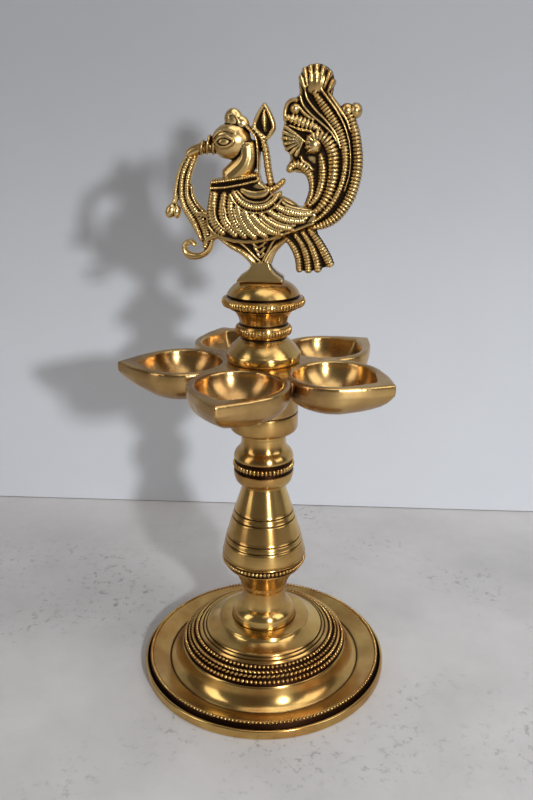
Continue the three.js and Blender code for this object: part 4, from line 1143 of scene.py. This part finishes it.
def stage_material(name, colour, roughness, change, specks, painted_shade_upwards=0.0):
    material, tree, shader = new_material(name)
    shader.inputs["Metallic"].default_value = 0.0
    place = add_node(tree, "TexCoord").outputs["Object"]
    cloud = ramp(tree, noise(tree, place, CLOUD_SCALE, 6.0, 0.65), *CLOUD_EDGES)
    darker = tuple(part * (1 - change) for part in colour)
    clouded = mix_colour(tree, cloud, colour, darker)
    darkening = ramp(tree, noise(tree, place, CHIP_SCALE, 6.0, 0.75), *CHIP_EDGES)
    where = ramp(tree, noise(tree, place, PATCH_SCALE), *PATCH_EDGES)
    spots = math_node(tree, "MULTIPLY", math_node(tree, "MULTIPLY", darkening, where), specks)
    grime = tuple(part * CHIP_DARKNESS for part in colour)
    surface_colour = mix_colour(tree, spots, clouded, grime)
    # Painted shade: towards the top, the colour is mixed with a dark one, as less light falls there.
    if painted_shade_upwards:
        height = add_node(tree, "SeparateXYZ", {0: place}).outputs[2]
        high = ramp(tree, height, 0.0, PAINTED_SHADE_TOP, interpolation_type="SMOOTHSTEP")
        surface_colour = mix_colour(tree, math_node(tree, "MULTIPLY", high, painted_shade_upwards), surface_colour, FAR_SHADE)
    tree.links.new(surface_colour, shader.inputs["Base Color"])
    shader.inputs["Roughness"].default_value = roughness
    return material


def open_from_behind(material):
    tree = material.node_tree
    camera_ray = add_node(tree, "LightPath").outputs["Is Camera Ray"]
    back = add_node(tree, "NewGeometry").outputs["Backfacing"]
    painted = tree.nodes["Principled BSDF"].outputs[0]
    clear = add_node(tree, "BsdfTransparent").outputs[0]
    see_through = math_node(tree, "MULTIPLY", camera_ray, back)
    mixer = add_node(tree, "MixShader", {0: see_through, 1: painted, 2: clear})
    tree.links.new(mixer.outputs[0], tree.nodes["Material Output"].inputs["Surface"])


clear_selection()
bpy.ops.mesh.primitive_plane_add(size=STAGE_SIZE, location=middle)
floor = bpy.context.object
floor.name = "floor"
settle(floor)
wear(floor, stage_material("pale_floor", FLOOR_PAINT, 0.6, 0.28, 1.0))

clear_selection()
wall_middle = middle + behind * WALL_BEHIND + Vector((0, 0, STAGE_SIZE / 2 + WALL_GAP))
bpy.ops.mesh.primitive_plane_add(size=STAGE_SIZE, location=wall_middle,
                                 rotation=(math.pi / 2, 0, CAMERA_TURN + WALL_TURN))
wall = bpy.context.object
wall.name = "wall"
settle(wall)
# The wall's colour is darkened upwards by half with painted shade.
wear(wall, stage_material("pale_wall", WALL_PAINT, 0.8, 0.05, 0.0, painted_shade_upwards=0.5))
open_from_behind(wall.data.materials[0])
print("the wall stands", WALL_BEHIND, "m behind the lamp's axis")

# %% [markdown]
# Four lamps. The key is a small one 0.6 m away, in front, to the right and a little above the
# peacock: it draws the long highlights and, being small, lays a clear shadow on the wall. A tall
# one on each side and one above fill the shadows. The room stays dim, so the metal has something
# dark to show between the lamps.

# %% Light
def soft_light(name, place, aim, size, power, colour=(1, 1, 1)):
    light = bpy.data.lights.new(name, "AREA")
    light.shape = "RECTANGLE"
    light.size, light.size_y = size
    light.energy = power
    light.color = colour
    lamp = bpy.data.objects.new(name, light)
    bpy.context.collection.objects.link(lamp)
    lamp.location = place
    lamp.rotation_euler = (aim - place).to_track_quat("-Z", "Y").to_euler()
    print(name, "light", round((aim - place).length, 2), "m away,", power, "W")


def from_lamp(right, front, height):
    return middle + aside * right - behind * front + Vector((0, 0, height))


AIM_HEIGHT = 0.12
AIM = from_lamp(0, 0, AIM_HEIGHT)
soft_light("key", from_lamp(0.227, 0.544, 0.302), AIM, (0.035, 0.035), 2.9, (0.94, 0.97, 1))
soft_light("window", from_lamp(0.75, 0.35, 0.75), AIM, (0.5, 0.8), 3.0, (1, 0.98, 0.96))
soft_light("fill", from_lamp(-0.75, 0.35, 0.5), AIM, (0.3, 0.8), 1.6, (1, 0.95, 0.9))
soft_light("top", from_lamp(0.1, 0.1, 0.95), AIM, (0.6, 0.5), 1.8)
world = bpy.data.worlds.new("room")
bpy.context.scene.world = world
world.use_nodes = True
background = world.node_tree.nodes["Background"]
background.inputs["Color"].default_value = (0.20, 0.19, 0.18, 1)
background.inputs["Strength"].default_value = 0.6
bpy.context.scene.view_settings.view_transform = "Standard"

# %% [markdown]
# The camera stands where the photographer stood: its place and lens were found from the ellipses
# of the base, the hub and the cups.

# %% Camera
CAMERA_DISTANCE = 0.2837
CAMERA_HEIGHT = 0.2143
CAMERA_DROP = math.radians(19.20)
CAMERA_YAW = math.radians(0.22)
LENS = 35.51

camera_data = bpy.data.cameras.new("camera")
camera_data.lens = LENS
camera_data.sensor_width = 36
camera_data.clip_start = 0.01
camera = bpy.data.objects.new("camera", camera_data)
bpy.context.collection.objects.link(camera)
camera.location = middle - behind * CAMERA_DISTANCE + Vector((0, 0, CAMERA_HEIGHT))
camera.rotation_euler = (math.pi / 2 - CAMERA_DROP, 0, CAMERA_TURN - CAMERA_YAW)
bpy.context.scene.camera = camera
print("camera at", [round(value, 4) for value in camera.location])
